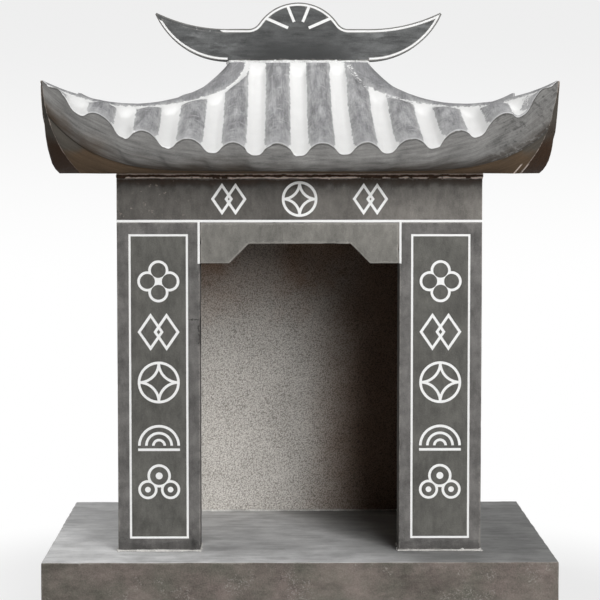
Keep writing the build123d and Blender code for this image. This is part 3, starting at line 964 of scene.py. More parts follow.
class SHRINE_OT_lintel(ShrinePiece):
    """Builds the lintel with its grooves"""

    bl_idname = "shrine.lintel"
    bl_label = "Lintel"

    def build(self, chosen):
        wear, colours = chosen.wear, chosen.colours

        def shaded_and_stained(wires, place, base):
            """Painted light, darker to the left and lighter to the right, and painted shade under the eave;
            browned along its top towards the mortar's colour, with light-brown bruises towards the left end.
            """
            x, _, z = wires.parts(place)
            # Painted light: darker to the left and lighter to the right, as the key lamp on the right lights
            # it.
            wander = wires.noise(place, 0.06, 3) * (60 * MM) + x
            across = wires.ramp(wander, lintel_low.x * 0.4, lintel_high.x * 0.8)
            base = wires.mix(across, wires.scaled(base, 0.78), wires.scaled(base, 1.22))
            drop = wires.noise(place, 0.012, 4) * (3 * MM) + (lintel_high.z - z)
            base = wires.mix(wires.ramp(drop, 12 * MM, 1 * MM) * 0.6, base, colours.bed)
            # Painted shade: a darker band along the top, under the eave.
            base = wires.mix(wires.ramp(drop, 14 * MM, 6 * MM), base, wires.scaled(base, 0.55))
            spots = wires.ramp(wires.noise(place, 0.009, 5, 0.7), 0.45, 1.2)
            gathered = wires.ramp(x, lintel_low.x * 0.35, lintel_low.x * 0.9)
            return wires.mix(spots * gathered * 0.5, base, tinted(colours.bed_light, 0.8))

        box = (lintel_low, lintel_high)
        cool, warm = tinted(colours.lintel, 0.88), tinted(colours.lintel, 1.1)
        stone = stone_material("lintel stone", cool, warm, box, HONED, shaded_and_stained)
        piece = worn_slab("worn_lintel", box, SLAB_STEP, wear.seed + 30)
        nodes = ["lintel_line", *(f"lintel_{place}_ornament" for place in ("left", "middle", "right"))]
        cut_grooves(piece, nodes)
        finish_piece(piece, [stone], ["lintel"])


DEEPEST_DIP = 0.7 * MM  # how far a wall's inner face may lie from its true level


class SHRINE_OT_walls(ShrinePiece):
    """Builds the chamber's walls, bush-hammered inside"""

    bl_idname = "shrine.walls"
    bl_label = "Chamber walls"

    def build(self, chosen):
        wear, colours, hammering = chosen.wear, chosen.colours, chosen.hammering
        # Each wall's inner face: the axis it is square to and whether it is the low or the high one.
        inner_faces = {"back_wall": (1, 0), "left_wall": (0, 1), "right_wall": (0, 0)}
        for number, (node, (axis, end)) in enumerate(inner_faces.items()):
            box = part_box(node)

            def hammered_inside(wires, place, base):
                """The inner face is bruised pale by the bush hammer, then browned and darkened by painted
                shade.

                The painted shade lies high up, under the head, apart from a lighter patch left of the middle,
                and to the right, behind the right pillar.
                """
                coordinates = wires.parts(place)
                x, _, z = coordinates
                gap = abs(coordinates[axis] - box[end][axis])
                near = wires.ramp(gap, 1.6 * MM, 0.9 * MM)
                inputs = {"Coordinates": place, "Mark Size": hammering.mark, "Depth": hammering.depth}
                bruise = wires.group("Hammer Marks", inputs)["Mask"]
                bruise = wires.noise(place, 0.05, 3, 0.6) * 0.08 + bruise
                stone = wires.mix(bruise, colours.hammered_pit, colours.hammered)
                # Painted shade, browned: high up under the head and to the right behind the right pillar,
                # less in a lit patch left of the middle.
                drift = wires.noise(place, 0.06, 4, 0.6) * (30 * MM)
                high = wires.ramp(z + drift, box[1].z - 220 * MM, box[1].z - 80 * MM)
                less_shaded = wires.ramp(abs(x + 53 * MM), 55 * MM, 10 * MM, low=1.0, high=0.4)
                across = drift * 0.4 + x
                right = wires.ramp(across, -10 * MM, 115 * MM)
                painted_shade = wires.math("MAXIMUM", high * less_shaded, right) * 0.9
                stone = wires.mix(painted_shade, stone, stone * colours.painted_shade[:3])
                # Painted shadow of the right pillar: darker still towards the right.
                stone = wires.mix(wires.ramp(across, 5 * MM, 125 * MM), stone, wires.scaled(stone, 0.55))
                return wires.mix(near, base, stone)

            cool, warm = tinted(colours.pillar, 0.85), tinted(colours.pillar, 1.05)
            stone = stone_material(f"{node} stone".replace("_", " "), cool, warm, box, SAWN, hammered_inside)
            piece = worn_slab(f"worn_{node}", box, WALL_STEP, wear.seed + 40 + number)
            if node == "back_wall":
                self.refine(piece, axis, box[end][axis])
            gap = np.abs(mesh_points(piece)[:, axis] - box[end][axis])
            point_attribute(piece, "hammered", 1 - smooth_step(gap, 0.5 * MM, 1.2 * MM))
            values = {"Mark": hammering.mark, "Depth": hammering.depth, "Seed": number, "Stone": stone}
            run_geometry_group(piece, "Hammered Face", values)
            finish_piece(piece, [stone], [node])

    def refine(self, piece, axis, level):
        """Halves the mesh of a wall's inner face, which is seen from close by."""
        shape = bmesh.new()
        shape.from_mesh(piece.data)
        inner = [
            face for face in shape.faces
            if all(abs(vertex.co[axis] - level) < DEEPEST_DIP for vertex in face.verts)
        ]
        edges = {edge for face in inner for edge in face.edges}
        bmesh.ops.subdivide_edges(shape, edges=list(edges), cuts=1, use_grid_fill=True)
        shape.to_mesh(piece.data)
        shape.free()


MORTAR = {
    "Patch Size": 0.02,
    "Patch Contrast": 0.2,
    "Grain Size": 0.0014,
    "Grain Contrast": 0.16,
    "Streak Stretch": (1.0, 1.0, 1.0),
    "Streak Size": 0.003,
    "Streak Contrast": 0.1,
    "Relief": 0.00025,
}


LUMPY_REACHES = (4 * MM, 16 * MM)  # from where to where the lumps round a corner get fewer
LUMPS_ELSEWHERE = 0.12  # the share of lumps that is left away from the corners
SMALLEST_LUMP = 0.8 * MM


def mortar_material(name, cool, warm, top=None):
    """Rough mortar. top, if given, is the colour of broken pale lines along the roof bed's top and foot: a
    crust that is also a painted highlight on the bed's edges.
    """
    material, wires, shader = new_material(name)
    place = object_place(wires)
    face = stone_face(wires, place, cool, warm, MORTAR)
    base = face["Color"]
    if top:
        # Crust and painted highlight: broken pale lines along the bed's top and foot.
        level = wires.noise(place, 0.012, 4, 0.6) * (0.9 * MM) + wires.parts(place)[2]
        line = wires.ramp(level, roof_low.z - 2.0 * MM, roof_low.z - 1.4 * MM)
        lower = wires.ramp(level, lintel_high.z + 1.6 * MM, lintel_high.z + 1.1 * MM)
        broken = wires.ramp(wires.noise(place, 0.03, 4, 0.7, signed=False), 0.1, 0.28)
        patchy = wires.ramp(wires.noise(place, 0.04, 4, 0.7, signed=False), 0.3, 0.42)
        crust_and_highlight = wires.math("MAXIMUM", line * broken, lower * patchy)
        base = wires.mix(crust_and_highlight, base, top)
    finish_material(wires, shader, base, face["Roughness"], face["Height"])
    return material


class SHRINE_OT_mortar(ShrinePiece):
    """Builds the beads of mortar under the walls, the roof and the ridge"""

    bl_idname = "shrine.mortar"
    bl_label = "Mortar beds"

    def build(self, chosen):
        colours, seed = chosen.colours, chosen.wear.seed
        brown, crust_and_highlight = tinted(colours.bed, 0.6), colours.bed_light
        self.base_bed(mortar_material("base mortar", tinted(colours.bead, 0.8), colours.bead), seed)
        self.roof_bed(mortar_material("roof mortar", brown, colours.bed, crust_and_highlight), seed)
        self.ridge_bed(mortar_material("ridge mortar", tinted(colours.paint, 0.75), colours.paint), seed)

    def bed(self, name, node, boxes, material, seed, lumps, corners, largest, density):
        """One mortar bed of rough boxes, lumpier within a short reach of the corners."""
        shells = [
            worn_box(box, MORTAR_STEP, 1.1 * MM, 0.0, 0.0, seed + number, lumps=lumps)
            for number, box in enumerate(boxes)
        ]
        piece = make_piece(name, *joined_shells(shells), merge=True)
        points = mesh_points(piece)
        near = np.zeros(len(points))
        for corner in corners:
            gap = np.linalg.norm(points[:, :2] - np.array(corner), axis=1)
            near = np.maximum(near, 1 - smooth_step(gap, *LUMPY_REACHES))
        point_attribute(piece, "lumpy", LUMPS_ELSEWHERE + (1 - LUMPS_ELSEWHERE) * near)
        values = {"Density": density, "Smallest": SMALLEST_LUMP, "Largest": largest}
        run_geometry_group(piece, "Mortar Lumps", {**values, "Seed": seed, "Mortar": material})
        finish_piece(piece, [material], [node], sharp=60)

    def base_bed(self, material, seed):
        """A bead squeezed out round the foot of each pillar and wall."""
        lip, above = 1.2 * MM, 0.3 * MM
        low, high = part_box("base_mortar")
        boxes, corners = [], []
        for node in ("left_pillar", "right_pillar", "left_wall", "right_wall", "back_wall"):
            foot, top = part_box(node)
            boxes.append(
                ((foot.x - lip, foot.y - lip, low.z), (top.x + lip, top.y + lip, high.z + above))
            )
            if "pillar" in node:
                corners += [(foot.x, foot.y), (top.x, foot.y)]
        self.bed("base_bead", "base_mortar", boxes, material, seed, 0.8 * MM, corners, 2.8 * MM, 18000)

    def roof_bed(self, material, seed):
        """A rough strip on the top of each wall and the lintel."""
        low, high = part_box("roof_mortar")
        boxes = []
        for node in ("lintel", "left_wall", "right_wall", "back_wall"):
            foot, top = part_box(node)
            boxes.append(((foot.x, foot.y, low.z), (top.x, top.y, high.z)))
        self.bed("roof_bed", "roof_mortar", boxes, material, seed + 50, 1.4 * MM, [], 1.8 * MM, 30000)

    def ridge_bed(self, material, seed):
        """An uneven white line of mortar under the ridge stone."""
        low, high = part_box("ridge_mortar")
        lip = 1.5 * MM
        boxes = [((low.x - lip, low.y - lip, low.z - lip), (high.x + lip, high.y + lip, high.z + 0.5 * MM))]
        for end in (low.x, high.x):
            boxes.append(((end - 3 * MM, low.y + lip, low.z - 9 * MM), (end + 3 * MM, high.y - lip, high.z)))
        ends = [(x, y) for x in (low.x, high.x) for y in (low.y, high.y)]
        self.bed("ridge_bed", "ridge_mortar", boxes, material, seed + 60, 1.3 * MM, ends, 2.4 * MM, 16000)


# ---------------------------------------------------------------- stones cut to an outline
def outline(node, spacing):
    """The even run of points (x, z) round a frame node's flat back, turning one way round."""
    shape = bmesh.new()
    shape.from_mesh(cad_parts[node].data)
    bmesh.ops.remove_doubles(shape, verts=shape.verts, dist=WELD)
    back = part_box(node)[1].y
    flat = {face for face in shape.faces if all(abs(vertex.co.y - back) < LEVEL for vertex in face.verts)}
    after = {}
    for face in flat:
        for loop in face.loops:
            if sum(other in flat for other in loop.edge.link_faces) == 1:
                after[loop.vert.index] = loop.link_loop_next.vert.index
    shape.verts.ensure_lookup_table()
    start = min(after)
    run, index = [shape.verts[start].co.copy()], after[start]
    while index != start:
        run.append(shape.verts[index].co.copy())
        index = after[index]
    shape.free()
    corners = np.array([(point.x, point.z) for point in run])
    following = np.roll(corners, -1, axis=0)
    lengths = np.linalg.norm(following - corners, axis=1)
    points = []
    for corner, after_corner, run_length in zip(corners, following, lengths):
        count = max(1, round(run_length / spacing))
        shares = np.arange(count)[:, None] / count
        points.append(corner + (after_corner - corner) * shares)
    return np.concatenate(points)


def far_apart(loop, near):
    """For each point of a loop, its distance to the loop's other parts, further along than near."""
    steps = np.linalg.norm(np.roll(loop, -1, axis=0) - loop, axis=1)
    along = np.concatenate(([0.0], np.cumsum(steps)[:-1]))
    between_points = np.abs(along[:, None] - along[None, :])
    between_points = np.minimum(between_points, steps.sum() - between_points)
    gaps = np.linalg.norm(loop[:, None] - loop[None, :], axis=2)
    return np.where(between_points > near, gaps, np.inf).min(1)


def inward(loop):
    """Unit directions pointing into a closed loop from each of its points."""
    tangent = np.roll(loop, -1, axis=0) - np.roll(loop, 1, axis=0)
    area = np.cross(loop, np.roll(loop, -1, axis=0)).sum()
    normal = np.column_stack((-tangent[:, 1], tangent[:, 0])) * np.sign(area)
    return normal / np.linalg.norm(normal, axis=1)[:, None]


def points_inside(loop, spacing):
    """Evenly spaced points inside a closed loop, clear of its edge, and their distances to it."""
    low, high = loop.min(0), loop.max(0)
    columns, rows = (np.arange(low[axis] + spacing, high[axis], spacing) for axis in (0, 1))
    grid = np.stack(np.meshgrid(columns, rows), axis=-1)
    grid[::2, :, 0] += spacing / 2
    grid = grid.reshape(-1, 2)
    start, end = loop, np.roll(loop, -1, axis=0)
    straddles = (start[:, 1] > grid[:, 1, None]) != (end[:, 1] > grid[:, 1, None])
    rise = np.where(start[:, 1] == end[:, 1], 1.0, end[:, 1] - start[:, 1])
    crossing = start[:, 0] + (end[:, 0] - start[:, 0]) * (grid[:, 1, None] - start[:, 1]) / rise
    inside = (straddles & (crossing > grid[:, 0, None])).sum(1) % 2 == 1
    gaps = np.linalg.norm(grid[:, None] - loop[None, :], axis=2).min(1)
    kept = inside & (gaps > 0.6 * spacing)
    return grid[kept], gaps[kept]


SIDE_REACHES = (2.0 * MM, 4.5 * MM)  # how far in from its arrises a cut stone's sides have rows of points
MIDDLE_REACH = 10 * MM  # the same for the row in the middle of its sides
INNER_SPACING = 4 * MM  # how far apart the points of its front and back are
ROUNDING = np.radians((90, 60, 30, 0))  # the steps in which a cut stone's arris turns over


def worn_prism(name, node, spacing, arris, chip, seed):
    """A stone as thick as its frame node, cut to that node's outline, with worn arrises.

    Its points carry "away", their distance from the nearest arris.
    """
    low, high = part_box(node)
    loop = outline(node, spacing)
    count = len(loop)
    flat = np.column_stack((loop[:, 0], np.zeros(count), loop[:, 1]))
    radius = arris * (1 + 0.4 * waver(flat, 18 * MM, seed + 2) + 0.2 * waver(flat, 5 * MM, seed + 3))
    radius = np.minimum(radius, 0.4 * far_apart(loop, 2 * spacing))
    turn_in = inward(loop)
    rings, away = [], []
    for front in (True, False):
        for angle in ROUNDING if front else ROUNDING[::-1]:
            ring = loop + turn_in * (radius * (1 - np.cos(angle)))[:, None]
            depth = radius * (1 - np.sin(angle))
            levels = low.y + depth if front else high.y - depth
            rings.append(np.column_stack((ring[:, 0], levels, ring[:, 1])))
            away.append(np.zeros(count))
        if front:
            side_rows = [(low.y + reach + arris, reach) for reach in SIDE_REACHES]
            side_rows.append(((low.y + high.y) / 2, MIDDLE_REACH))
            side_rows += [(high.y - reach - arris, reach) for reach in SIDE_REACHES[::-1]]
            for level, reach in side_rows:
                rings.append(np.column_stack((loop[:, 0], np.full(count, level), loop[:, 1])))
                away.append(np.full(count, reach))
    faces = [list(face) for face in grid_faces(len(rings), count, closed=True)]
    points = np.concatenate(rings)
    away = np.concatenate(away)
    for ring_number, level in ((0, low.y), (len(rings) - 1, high.y)):
        edge = rings[ring_number][:, [0, 2]]
        inner, gaps = points_inside(edge, INNER_SPACING)
        sides = [(index, (index + 1) % count) for index in range(count)]
        corners = [Vector(point) for point in np.concatenate((edge, inner))]
        found = delaunay_2d_cdt(corners, sides, [], 1, 1e-9)
        order = {new: old[0] for new, old in enumerate(found[3])}
        first, inner_first = ring_number * count, len(points)
        for face in found[2]:
            old = [order[index] for index in face]
            faces.append([first + index if index < count else inner_first + index - count for index in old])
        inner_points = np.column_stack((inner[:, 0], np.full(len(inner), level), inner[:, 1]))
        points = np.concatenate((points, inner_points))
        away = np.concatenate((away, gaps))
    piece = make_piece(name, points, faces)
    shape = bmesh.new()
    shape.from_mesh(piece.data)
    bmesh.ops.recalc_face_normals(shape, faces=shape.faces)
    shape.to_mesh(piece.data)
    shape.free()
    point_attribute(piece, "away", away)
    wear_down(piece, away, chip, seed)
    return piece


def wear_down(piece, away, chip, seed):
    """Pushes chips and small waves into a piece's arrises and shallow dips into its faces."""
    points = mesh_points(piece)
    normals = np.array([vertex.normal for vertex in piece.data.vertices])
    marks = 1 - smooth_step(away, 0.5 * MM, 2.5 * MM)
    bites = smooth_step(waver(points, 10 * MM, seed), 0.45, 0.85)
    waves = 0.5 + 0.5 * waver(points, 14 * MM, seed + 1)
    dips = 0.5 + 0.5 * waver(points, 60 * MM, seed + 4)
    loss = marks * (chip * bites + 0.3 * MM * waves) + settings().wear.unevenness * dips
    points -= normals * loss[:, None]
    piece.data.vertices.foreach_set("co", points.ravel())
    piece.data.update()


class SHRINE_OT_opening_head(ShrinePiece):
    """Builds the shaped head of the opening"""

    bl_idname = "shrine.opening_head"
    bl_label = "Opening head"

    def build(self, chosen):
        wear, colours = chosen.wear, chosen.colours
        cool, warm = tinted(colours.head, 0.93), tinted(colours.head, 1.06)
        stone = stone_material("opening head stone", cool, warm)
        seed = wear.seed + 70
        piece = worn_prism("worn_opening_head", "opening_head", 1.6 * MM, wear.arris, 1.4 * MM, seed)
        finish_piece(piece, [stone], ["opening_head"])


class SHRINE_OT_ridge(ShrinePiece):
    """Builds the crescent ridge stone with its sun"""

    bl_idname = "shrine.ridge"
    bl_label = "Ridge stone"

    def build(self, chosen):
        wear, colours = chosen.wear, chosen.colours

        def darker_foot(wires, place, base):
            """The stone is darkest low in its middle and smeared paler on its arms."""
            x, _, z = wires.parts(place)
            low = wires.ramp(z, ridge_low.z + 45 * MM, ridge_low.z + 8 * MM)
            middle = wires.ramp(abs(x), 110 * MM, 20 * MM)
            base = wires.mix(low * middle * 0.9, base, tinted(colours.ridge, 0.45))
            smears = wires.noise(place * (0.35, 1.0, 1.0), 0.016, 5, 0.65)
            smears = wires.ramp(smears, 0.0, 1.0) * wires.ramp(abs(x), 40 * MM, 110 * MM)
            return wires.mix(smears, base, tinted(colours.ridge, 2.0))

        look = {**HONED, "Streak Stretch": (0.2, 1.0, 1.0), "Streak Contrast": 0.36}
        cool, warm = tinted(colours.ridge, 0.85), tinted(colours.ridge, 1.12)
        stone = stone_material("ridge stone", cool, warm, None, look, darker_foot)
        piece = worn_prism("worn_ridge_stone", "ridge_stone", 1.6 * MM, 0.7 * MM, 0.5 * MM, wear.seed + 80)
        cut_grooves(piece, ["ridge_outline"])
        cut_grooves(piece, ["ridge_rays"])
        finish_piece(piece, [stone], ["ridge_stone"])


# ---------------------------------------------------------------- roof stone
# Its curved lines are cubic curves whose middle two control points lie at these shares of the way across,
# out and up, as in the frame's own roof.
HIP_RISES = (45.9 * MM, 111 * MM)
HIP_RUNS = (0.53, 0.98)
SLOPE_SHARES = ((0.0, 0.35, 0.21), (0.0, 0.74, 0.45))
HULL_SHARES = ((0.0, 0.80, 0.05), (0.0, 1.05, 0.45))
FRONT_ARRIS_SHARES = ((0.55, 0.59, 0.22), (0.925, 0.846, 0.52))
SIDE_ARRIS_SHARES = ((0.51, 0.87, 0.11), (0.83, 0.90, 0.47))
EAVE_RISE = 28 * MM
EAVE_FRONT_FLARE = 19 * MM
EAVE_SIDE_FLARE = 5 * MM
SQUARE_SHARE = 0.2  # how much of the eave's lift follows the square, the rest the fourth power
CREASE_RISE = 2.5 * MM  # the soffit's upper edge above the underside, at an eave's middle
CREASE_LIFT = 65 * MM  # how much higher it is at a corner
CREASE_DROP = 20 * MM  # how much lower than that it was left at the right front corner
CREASE_POWER = 7  # how late it turns up towards the corner
SCRAPES = (249 * MM, 257 * MM)  # where two pale scrapes start, low at the front's right end
# Dark lines along the fold: their height above it, half their width and the share of light they keep.
FOLD_LINES = ((1.5 * MM, 1.2 * MM, 0.45), (5.5 * MM, 0.7 * MM, 0.6), (-4.0 * MM, 0.8 * MM, 0.5))
HIP_SLANT = 0.72  # the hips run this share of an across distance away

# How much closer the flutes lie at the ridge than at the eave: left and right in front, and elsewhere.
LEFT_FAN, RIGHT_FAN, OTHER_FAN = 0.02, 0.09, 0.05
HIP_LOSS = 0.3  # how much paint the hip lines of the sides and the back have lost
RIGHT_HIP_LOSS = 0.62  # the same for the front's right hip, near the ridge
SPARED_AT_TIP = 0.3  # how much less that hip has lost further down

UNDER_ROWS = np.array((0.0, 0.15, 0.3, 0.45, 0.6, 0.75, 0.88, 1.0))
FASCIA_ROWS = np.array((0.0, 0.05, 0.15, 0.3, 0.45, 0.6, 0.72, 0.82, 0.9, 0.95, 0.98, 1.0))
SLOPE_ROWS = np.concatenate(((0.003, 0.008, 0.016, 0.028, 0.042), np.linspace(0.056, 1.0, 60)))
STRIP_SHARES = (0.08, 0.3, 0.7, 0.92)
FRONT_COLUMNS = 261
SIDE_COLUMNS = 201


def bezier(points, shares):
    """Points at these shares along a cubic curve with four control points."""
    t = np.asarray(shares)[..., None]
    first, second, third, fourth = (np.asarray(point, float) for point in points)
    return (1 - t) ** 3 * first + 3 * (1 - t) ** 2 * t * second + 3 * (1 - t) * t**2 * third + t**3 * fourth


def between(start, end, shares):
    """Four control points from start to end, the middle two at shares of the way."""
    start, end = np.array(start), np.array(end)
    return [start, *(start + (end - start) * np.array(share) for share in shares), end]


def level_reach(z):
    """How far the roof reaches at one height, and how far its long and short sides run there."""
    places = np.abs([vertex.co[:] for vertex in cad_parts["roof_stone"].data.vertices])
    level = places[np.abs(places[:, 2] - z) < LEVEL]
    reach = level.max(0)
    along_front = level[reach[1] - level[:, 1] < 0.1 * MM][:, 0].max()
    along_side = level[reach[0] - level[:, 0] < 0.1 * MM][:, 1].max()
    return reach[0], reach[1], along_front, along_side


class RoofSide:
    """The lines of one side of the roof, with points as (across, out, up)."""

    def __init__(self, turned):
        foot, top = roof_low.z, roof_high.z
        sole_x, sole_y, sole_along_x, sole_along_y = level_reach(foot)
        flat_x, flat_y, flat_along_x, _ = level_reach(top)
        points = [vertex.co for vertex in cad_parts["roof_stone"].data.vertices]
        tip = max(points, key=lambda point: point.x)
        blunt = flat_x - flat_along_x
        reach = (roof_high.y, roof_high.x) if turned else (roof_high.x, roof_high.y)
        flat = (flat_y, flat_x) if turned else (flat_x, flat_y)
        runs = [(run, run) for run in HIP_RUNS]
        plan = between(reach, flat, runs)
        heights = (tip.z, foot + HIP_RISES[0], foot + HIP_RISES[1], top)
        self.hip = [(across - blunt, out, up) for (across, out), up in zip(plan, heights)]
        sole_out = sole_x if turned else sole_y
        sole_along = sole_along_y if turned else sole_along_x
        shares = SIDE_ARRIS_SHARES if turned else FRONT_ARRIS_SHARES
        self.arris = between((sole_along, sole_out, foot), self.hip[0], shares)
        eave_out = sole_out + (EAVE_SIDE_FLARE if turned else EAVE_FRONT_FLARE)
        eave = (0.0, eave_out, foot + EAVE_RISE)
        self.hull = between((0.0, sole_out, foot), eave, HULL_SHARES)
        self.slope = between(eave, (0.0, flat[1], top), SLOPE_SHARES)
        self.foot = foot


def curved_surface(corner, middle, across, shares):
    """Points of a surface between two mirrored corner lines, shaped by its middle line."""
    lift = SQUARE_SHARE * across**2 + (1 - SQUARE_SHARE) * across**4
    corner_points, middle_points = bezier(corner, shares), bezier(middle, shares)
    points = middle_points + (corner_points - middle_points) * lift[None, :, None]
    points[..., 0] = corner_points[..., 0] * across
    return points


def grid_normals(points):
    """Normals of a grid of points whose rows climb and whose columns run across."""
    normals = np.cross(np.gradient(points, axis=1), np.gradient(points, axis=0))
    normals *= np.sign(normals[..., 2:3])
    return normals / np.linalg.norm(normals, axis=-1, keepdims=True)


class SHRINE_OT_roof(ShrinePiece):
    """Builds the fluted roof stone with its ribs, fascias and soffits"""

    bl_idname = "shrine.roof"
    bl_label = "Roof stone"

    def build(self, chosen):
        sheets = []
        for turn in range(4):
            turned = turn % 2 == 1
            columns = SIDE_COLUMNS if turned else FRONT_COLUMNS
            sheets.append(self.sheet(RoofSide(turned), turn, np.linspace(-1, 1, columns), chosen.roof))
        values = {}
        for name in sheets[0]:
            run = []
            for turn, sheet in enumerate(sheets):
                following = sheets[(turn + 1) % 4]
                here, there = sheet[name][:, -1], following[name][:, 0]
                width = np.linalg.norm(following["points"][:, 0] - sheet["points"][:, -1], axis=1)
                run.append(sheet[name])
                for share in STRIP_SHARES:
                    strip = here + (there - here) * share
                    if name == "border":
                        strip = strip + width * min(share, 1 - share)
                    run.append(strip[:, None])
            values[name] = np.concatenate(run, axis=1)
        strip = np.ones(len(STRIP_SHARES) + 1)
        is_strip = [np.append(np.zeros(sheet["line"].shape[1] - 1), strip) for sheet in sheets]
        is_strip = np.concatenate(is_strip)
        worn, hull = chosen.roof.eave_wear, len(UNDER_ROWS) + len(FASCIA_ROWS)
        edge = 1 - smooth_step(np.abs(values["climb"]), 0.5 * worn, 1.5 * worn)
        corner = 1 - smooth_step(values.pop("border")[:hull], 0.5 * MM, 3 * MM)
        edge[:hull] = np.maximum(edge[:hull], corner)
        values["edge"] = edge
        rows, columns = values["line"].shape
        points = values.pop("points").reshape(-1, 3)
        faces = [list(face) for face in grid_faces(rows, columns, closed=True)]
        row = np.arange(rows - 1)
        row_zone = np.where(row < hull - 1, FASCIA, ROLLS)
        row_zone = np.where(row < len(UNDER_ROWS), UNDERSIDE, row_zone)[:, None]
        zones = np.where((is_strip[None, :] > 0) & (row_zone != ROLLS), CORNERS, row_zone).ravel()
        faces += [list(range(columns))[::-1], list(range((rows - 1) * columns, rows * columns))]
        zones = np.append(zones, (UNDERSIDE, ROLLS))

        piece = make_piece("fluted_roof_stone", points, faces)
        for name, grid in values.items():
            point_attribute(piece, name, grid.reshape(rows * columns, -1).squeeze())
        zone = piece.data.attributes.new("zone", "FLOAT", "FACE")
        zone.data.foreach_set("value", zones.astype(np.float32))
        colours = chosen.colours
        brown = tinted(colours.bed_light, 0.7)
        stones = (
            self.rolls_material(chosen),
            self.fascia_material(chosen),
            self.under_material("roof underside", colours.underside, colours.soffit, 20 * MM, brown),
            self.under_material("roof corners", colours.underside, colours.corner, 50 * MM, brown),
        )
        inputs = {
            "Pitch": chosen.roof.pitch,
            "Crest": chosen.roof.crest,
            "Trough": chosen.roof.trough,
            "Sway": chosen.roof.sway,
            "Unevenness": 0.9 * chosen.wear.unevenness,
            "Chips": 0.35 * chosen.wear.chip,
            "Seed": chosen.wear.seed,
        }
        inputs.update(zip(ZONES, stones))
        run_geometry_group(piece, "Roof Flutes", inputs)
        finish_piece(piece, stones, ["roof_stone"], sharp=38)

    def sheet(self, side, turn, across, roof):
        """One side's points from the underside up the fascia and the slope, and their named values."""
        fine = np.linspace(0, 1, 201)
        fine_rows = np.repeat(fine[:, None], len(across), 1)
        heights = curved_surface(side.arris, side.hull, across, fine_rows)[..., 2]
        lower_end = {0: across > 0, 1: across < 0}.get(turn, False)
        lift = CREASE_LIFT - CREASE_DROP * lower_end
        crease_height = side.foot + CREASE_RISE + lift * np.abs(across) ** CREASE_POWER
        crease = np.array([np.interp(level, column, fine) for level, column in zip(crease_height, heights.T)])
        fascia_rows = crease + FASCIA_ROWS[:, None] * (1 - crease)
        hull_rows = np.concatenate((UNDER_ROWS[:, None] * crease, fascia_rows))
        hull = curved_surface(side.arris, side.hull, across, hull_rows)
        hull[: len(UNDER_ROWS), :, 1] -= (roof.step * UNDER_ROWS**2)[:, None]
        slope_rows = np.repeat(SLOPE_ROWS[:, None], len(across), 1)
        slope = curved_surface(side.hip, side.slope, across, slope_rows)

        hull_count, slope_count = len(hull_rows), len(SLOPE_ROWS)
        eave = hull[-1]
        gap = (bezier(side.hip, SLOPE_ROWS)[:, 0][:, None] - np.abs(slope[..., 0])) * HIP_SLANT
        eave_gap = (side.hip[0][0] - np.abs(eave[:, 0])) * HIP_SLANT
        gap = np.concatenate((np.repeat(eave_gap[None, :], hull_count, 0), gap))
        share = np.concatenate((np.zeros(len(UNDER_ROWS)), FASCIA_ROWS, np.ones(slope_count)))[:, None]
        top = np.concatenate((np.zeros(hull_count), SLOPE_ROWS))[:, None]
        points = np.concatenate((hull, slope))
        steps = np.linalg.norm(np.diff(points, axis=0), axis=2)
        travelled = np.concatenate((np.zeros((1, len(across))), np.cumsum(steps, axis=0)))
        climb = travelled - travelled[hull_count - 1]

        normals = np.zeros_like(points)
        normals[:, :, 2] = 1
        normals[hull_count:] = grid_normals(slope)
        blend = smooth_step(top, 0.04, 0.35)[..., None]
        direction = np.array((0.0, 0.0, 1.0)) * (1 - blend) + normals * blend
        direction /= np.linalg.norm(direction, axis=-1, keepdims=True)

        width = roof.rib_tip_width + (roof.rib_width - roof.rib_tip_width) * smooth_step(top, 0.35, 0.85)
        beside = gap - width
        rib = 1 - smooth_step(beside, -0.3 * width, 0)
        channel = smooth_step(beside, -0.1 * width, 0.2 * roof.hip_line)
        channel *= 1 - smooth_step(beside, 0.6 * roof.hip_line, roof.hip_line)
        raised = (roof.rib_height * rib - 0.25 * roof.rib_height * channel) * smooth_step(top, 0.0, 0.14)
        points += normals * (raised * (share == 1))[..., None]
        for _ in range(3):
            band = slice(hull_count - 3, hull_count + 2)
            wider = points[hull_count - 4 : hull_count + 3]
            points[band] = 0.25 * wider[:-2] + 0.5 * wider[1:-1] + 0.25 * wider[2:]

        fan = np.where(points[..., 0] > 0, RIGHT_FAN, LEFT_FAN) if turn == 0 else OTHER_FAN
        line = np.concatenate((np.repeat(eave[None, :, 0], hull_count, 0), slope[..., 0])) * (1 + fan * top)
        fluting = smooth_step(beside, 0, roof.hip_line + 6 * MM)
        fluting *= (1 - smooth_step(top, 0.93, 0.99)) * share
        full = np.zeros(line.shape)
        border = full + 1.0
        border[:hull_count] = bezier(side.arris, hull_rows)[..., 0] - np.abs(hull[..., 0])
        loss = full + (HIP_LOSS if turn else 0.0)
        if turn == 0:
            right = smooth_step(points[..., 0], -20 * MM, 60 * MM)
            spared = SPARED_AT_TIP * smooth_step(points[..., 0], 70 * MM, 150 * MM)
            loss += (RIGHT_HIP_LOSS - spared) * right
        found = {
            "points": self.turned(points, turn),
            "lift": self.turned(direction, turn),
            "line": line,
            "fluting": fluting,
            "border": border,
            "side": full + turn,
            "beside": beside,
            "climb": climb,
            "fold": travelled - travelled[len(UNDER_ROWS)],
            "loss": loss,
        }
        found["run"] = np.stack((line + turn, climb, full), axis=-1)
        return found

    def turned(self, points, turn):
        """Local points or directions (across, out, up) in the frame's axes."""
        across, out, up = np.moveaxis(points, -1, 0)
        x, y = ((across, -out), (out, across), (-across, out), (-out, -across))[turn]
        return np.stack((x, y, up), axis=-1)

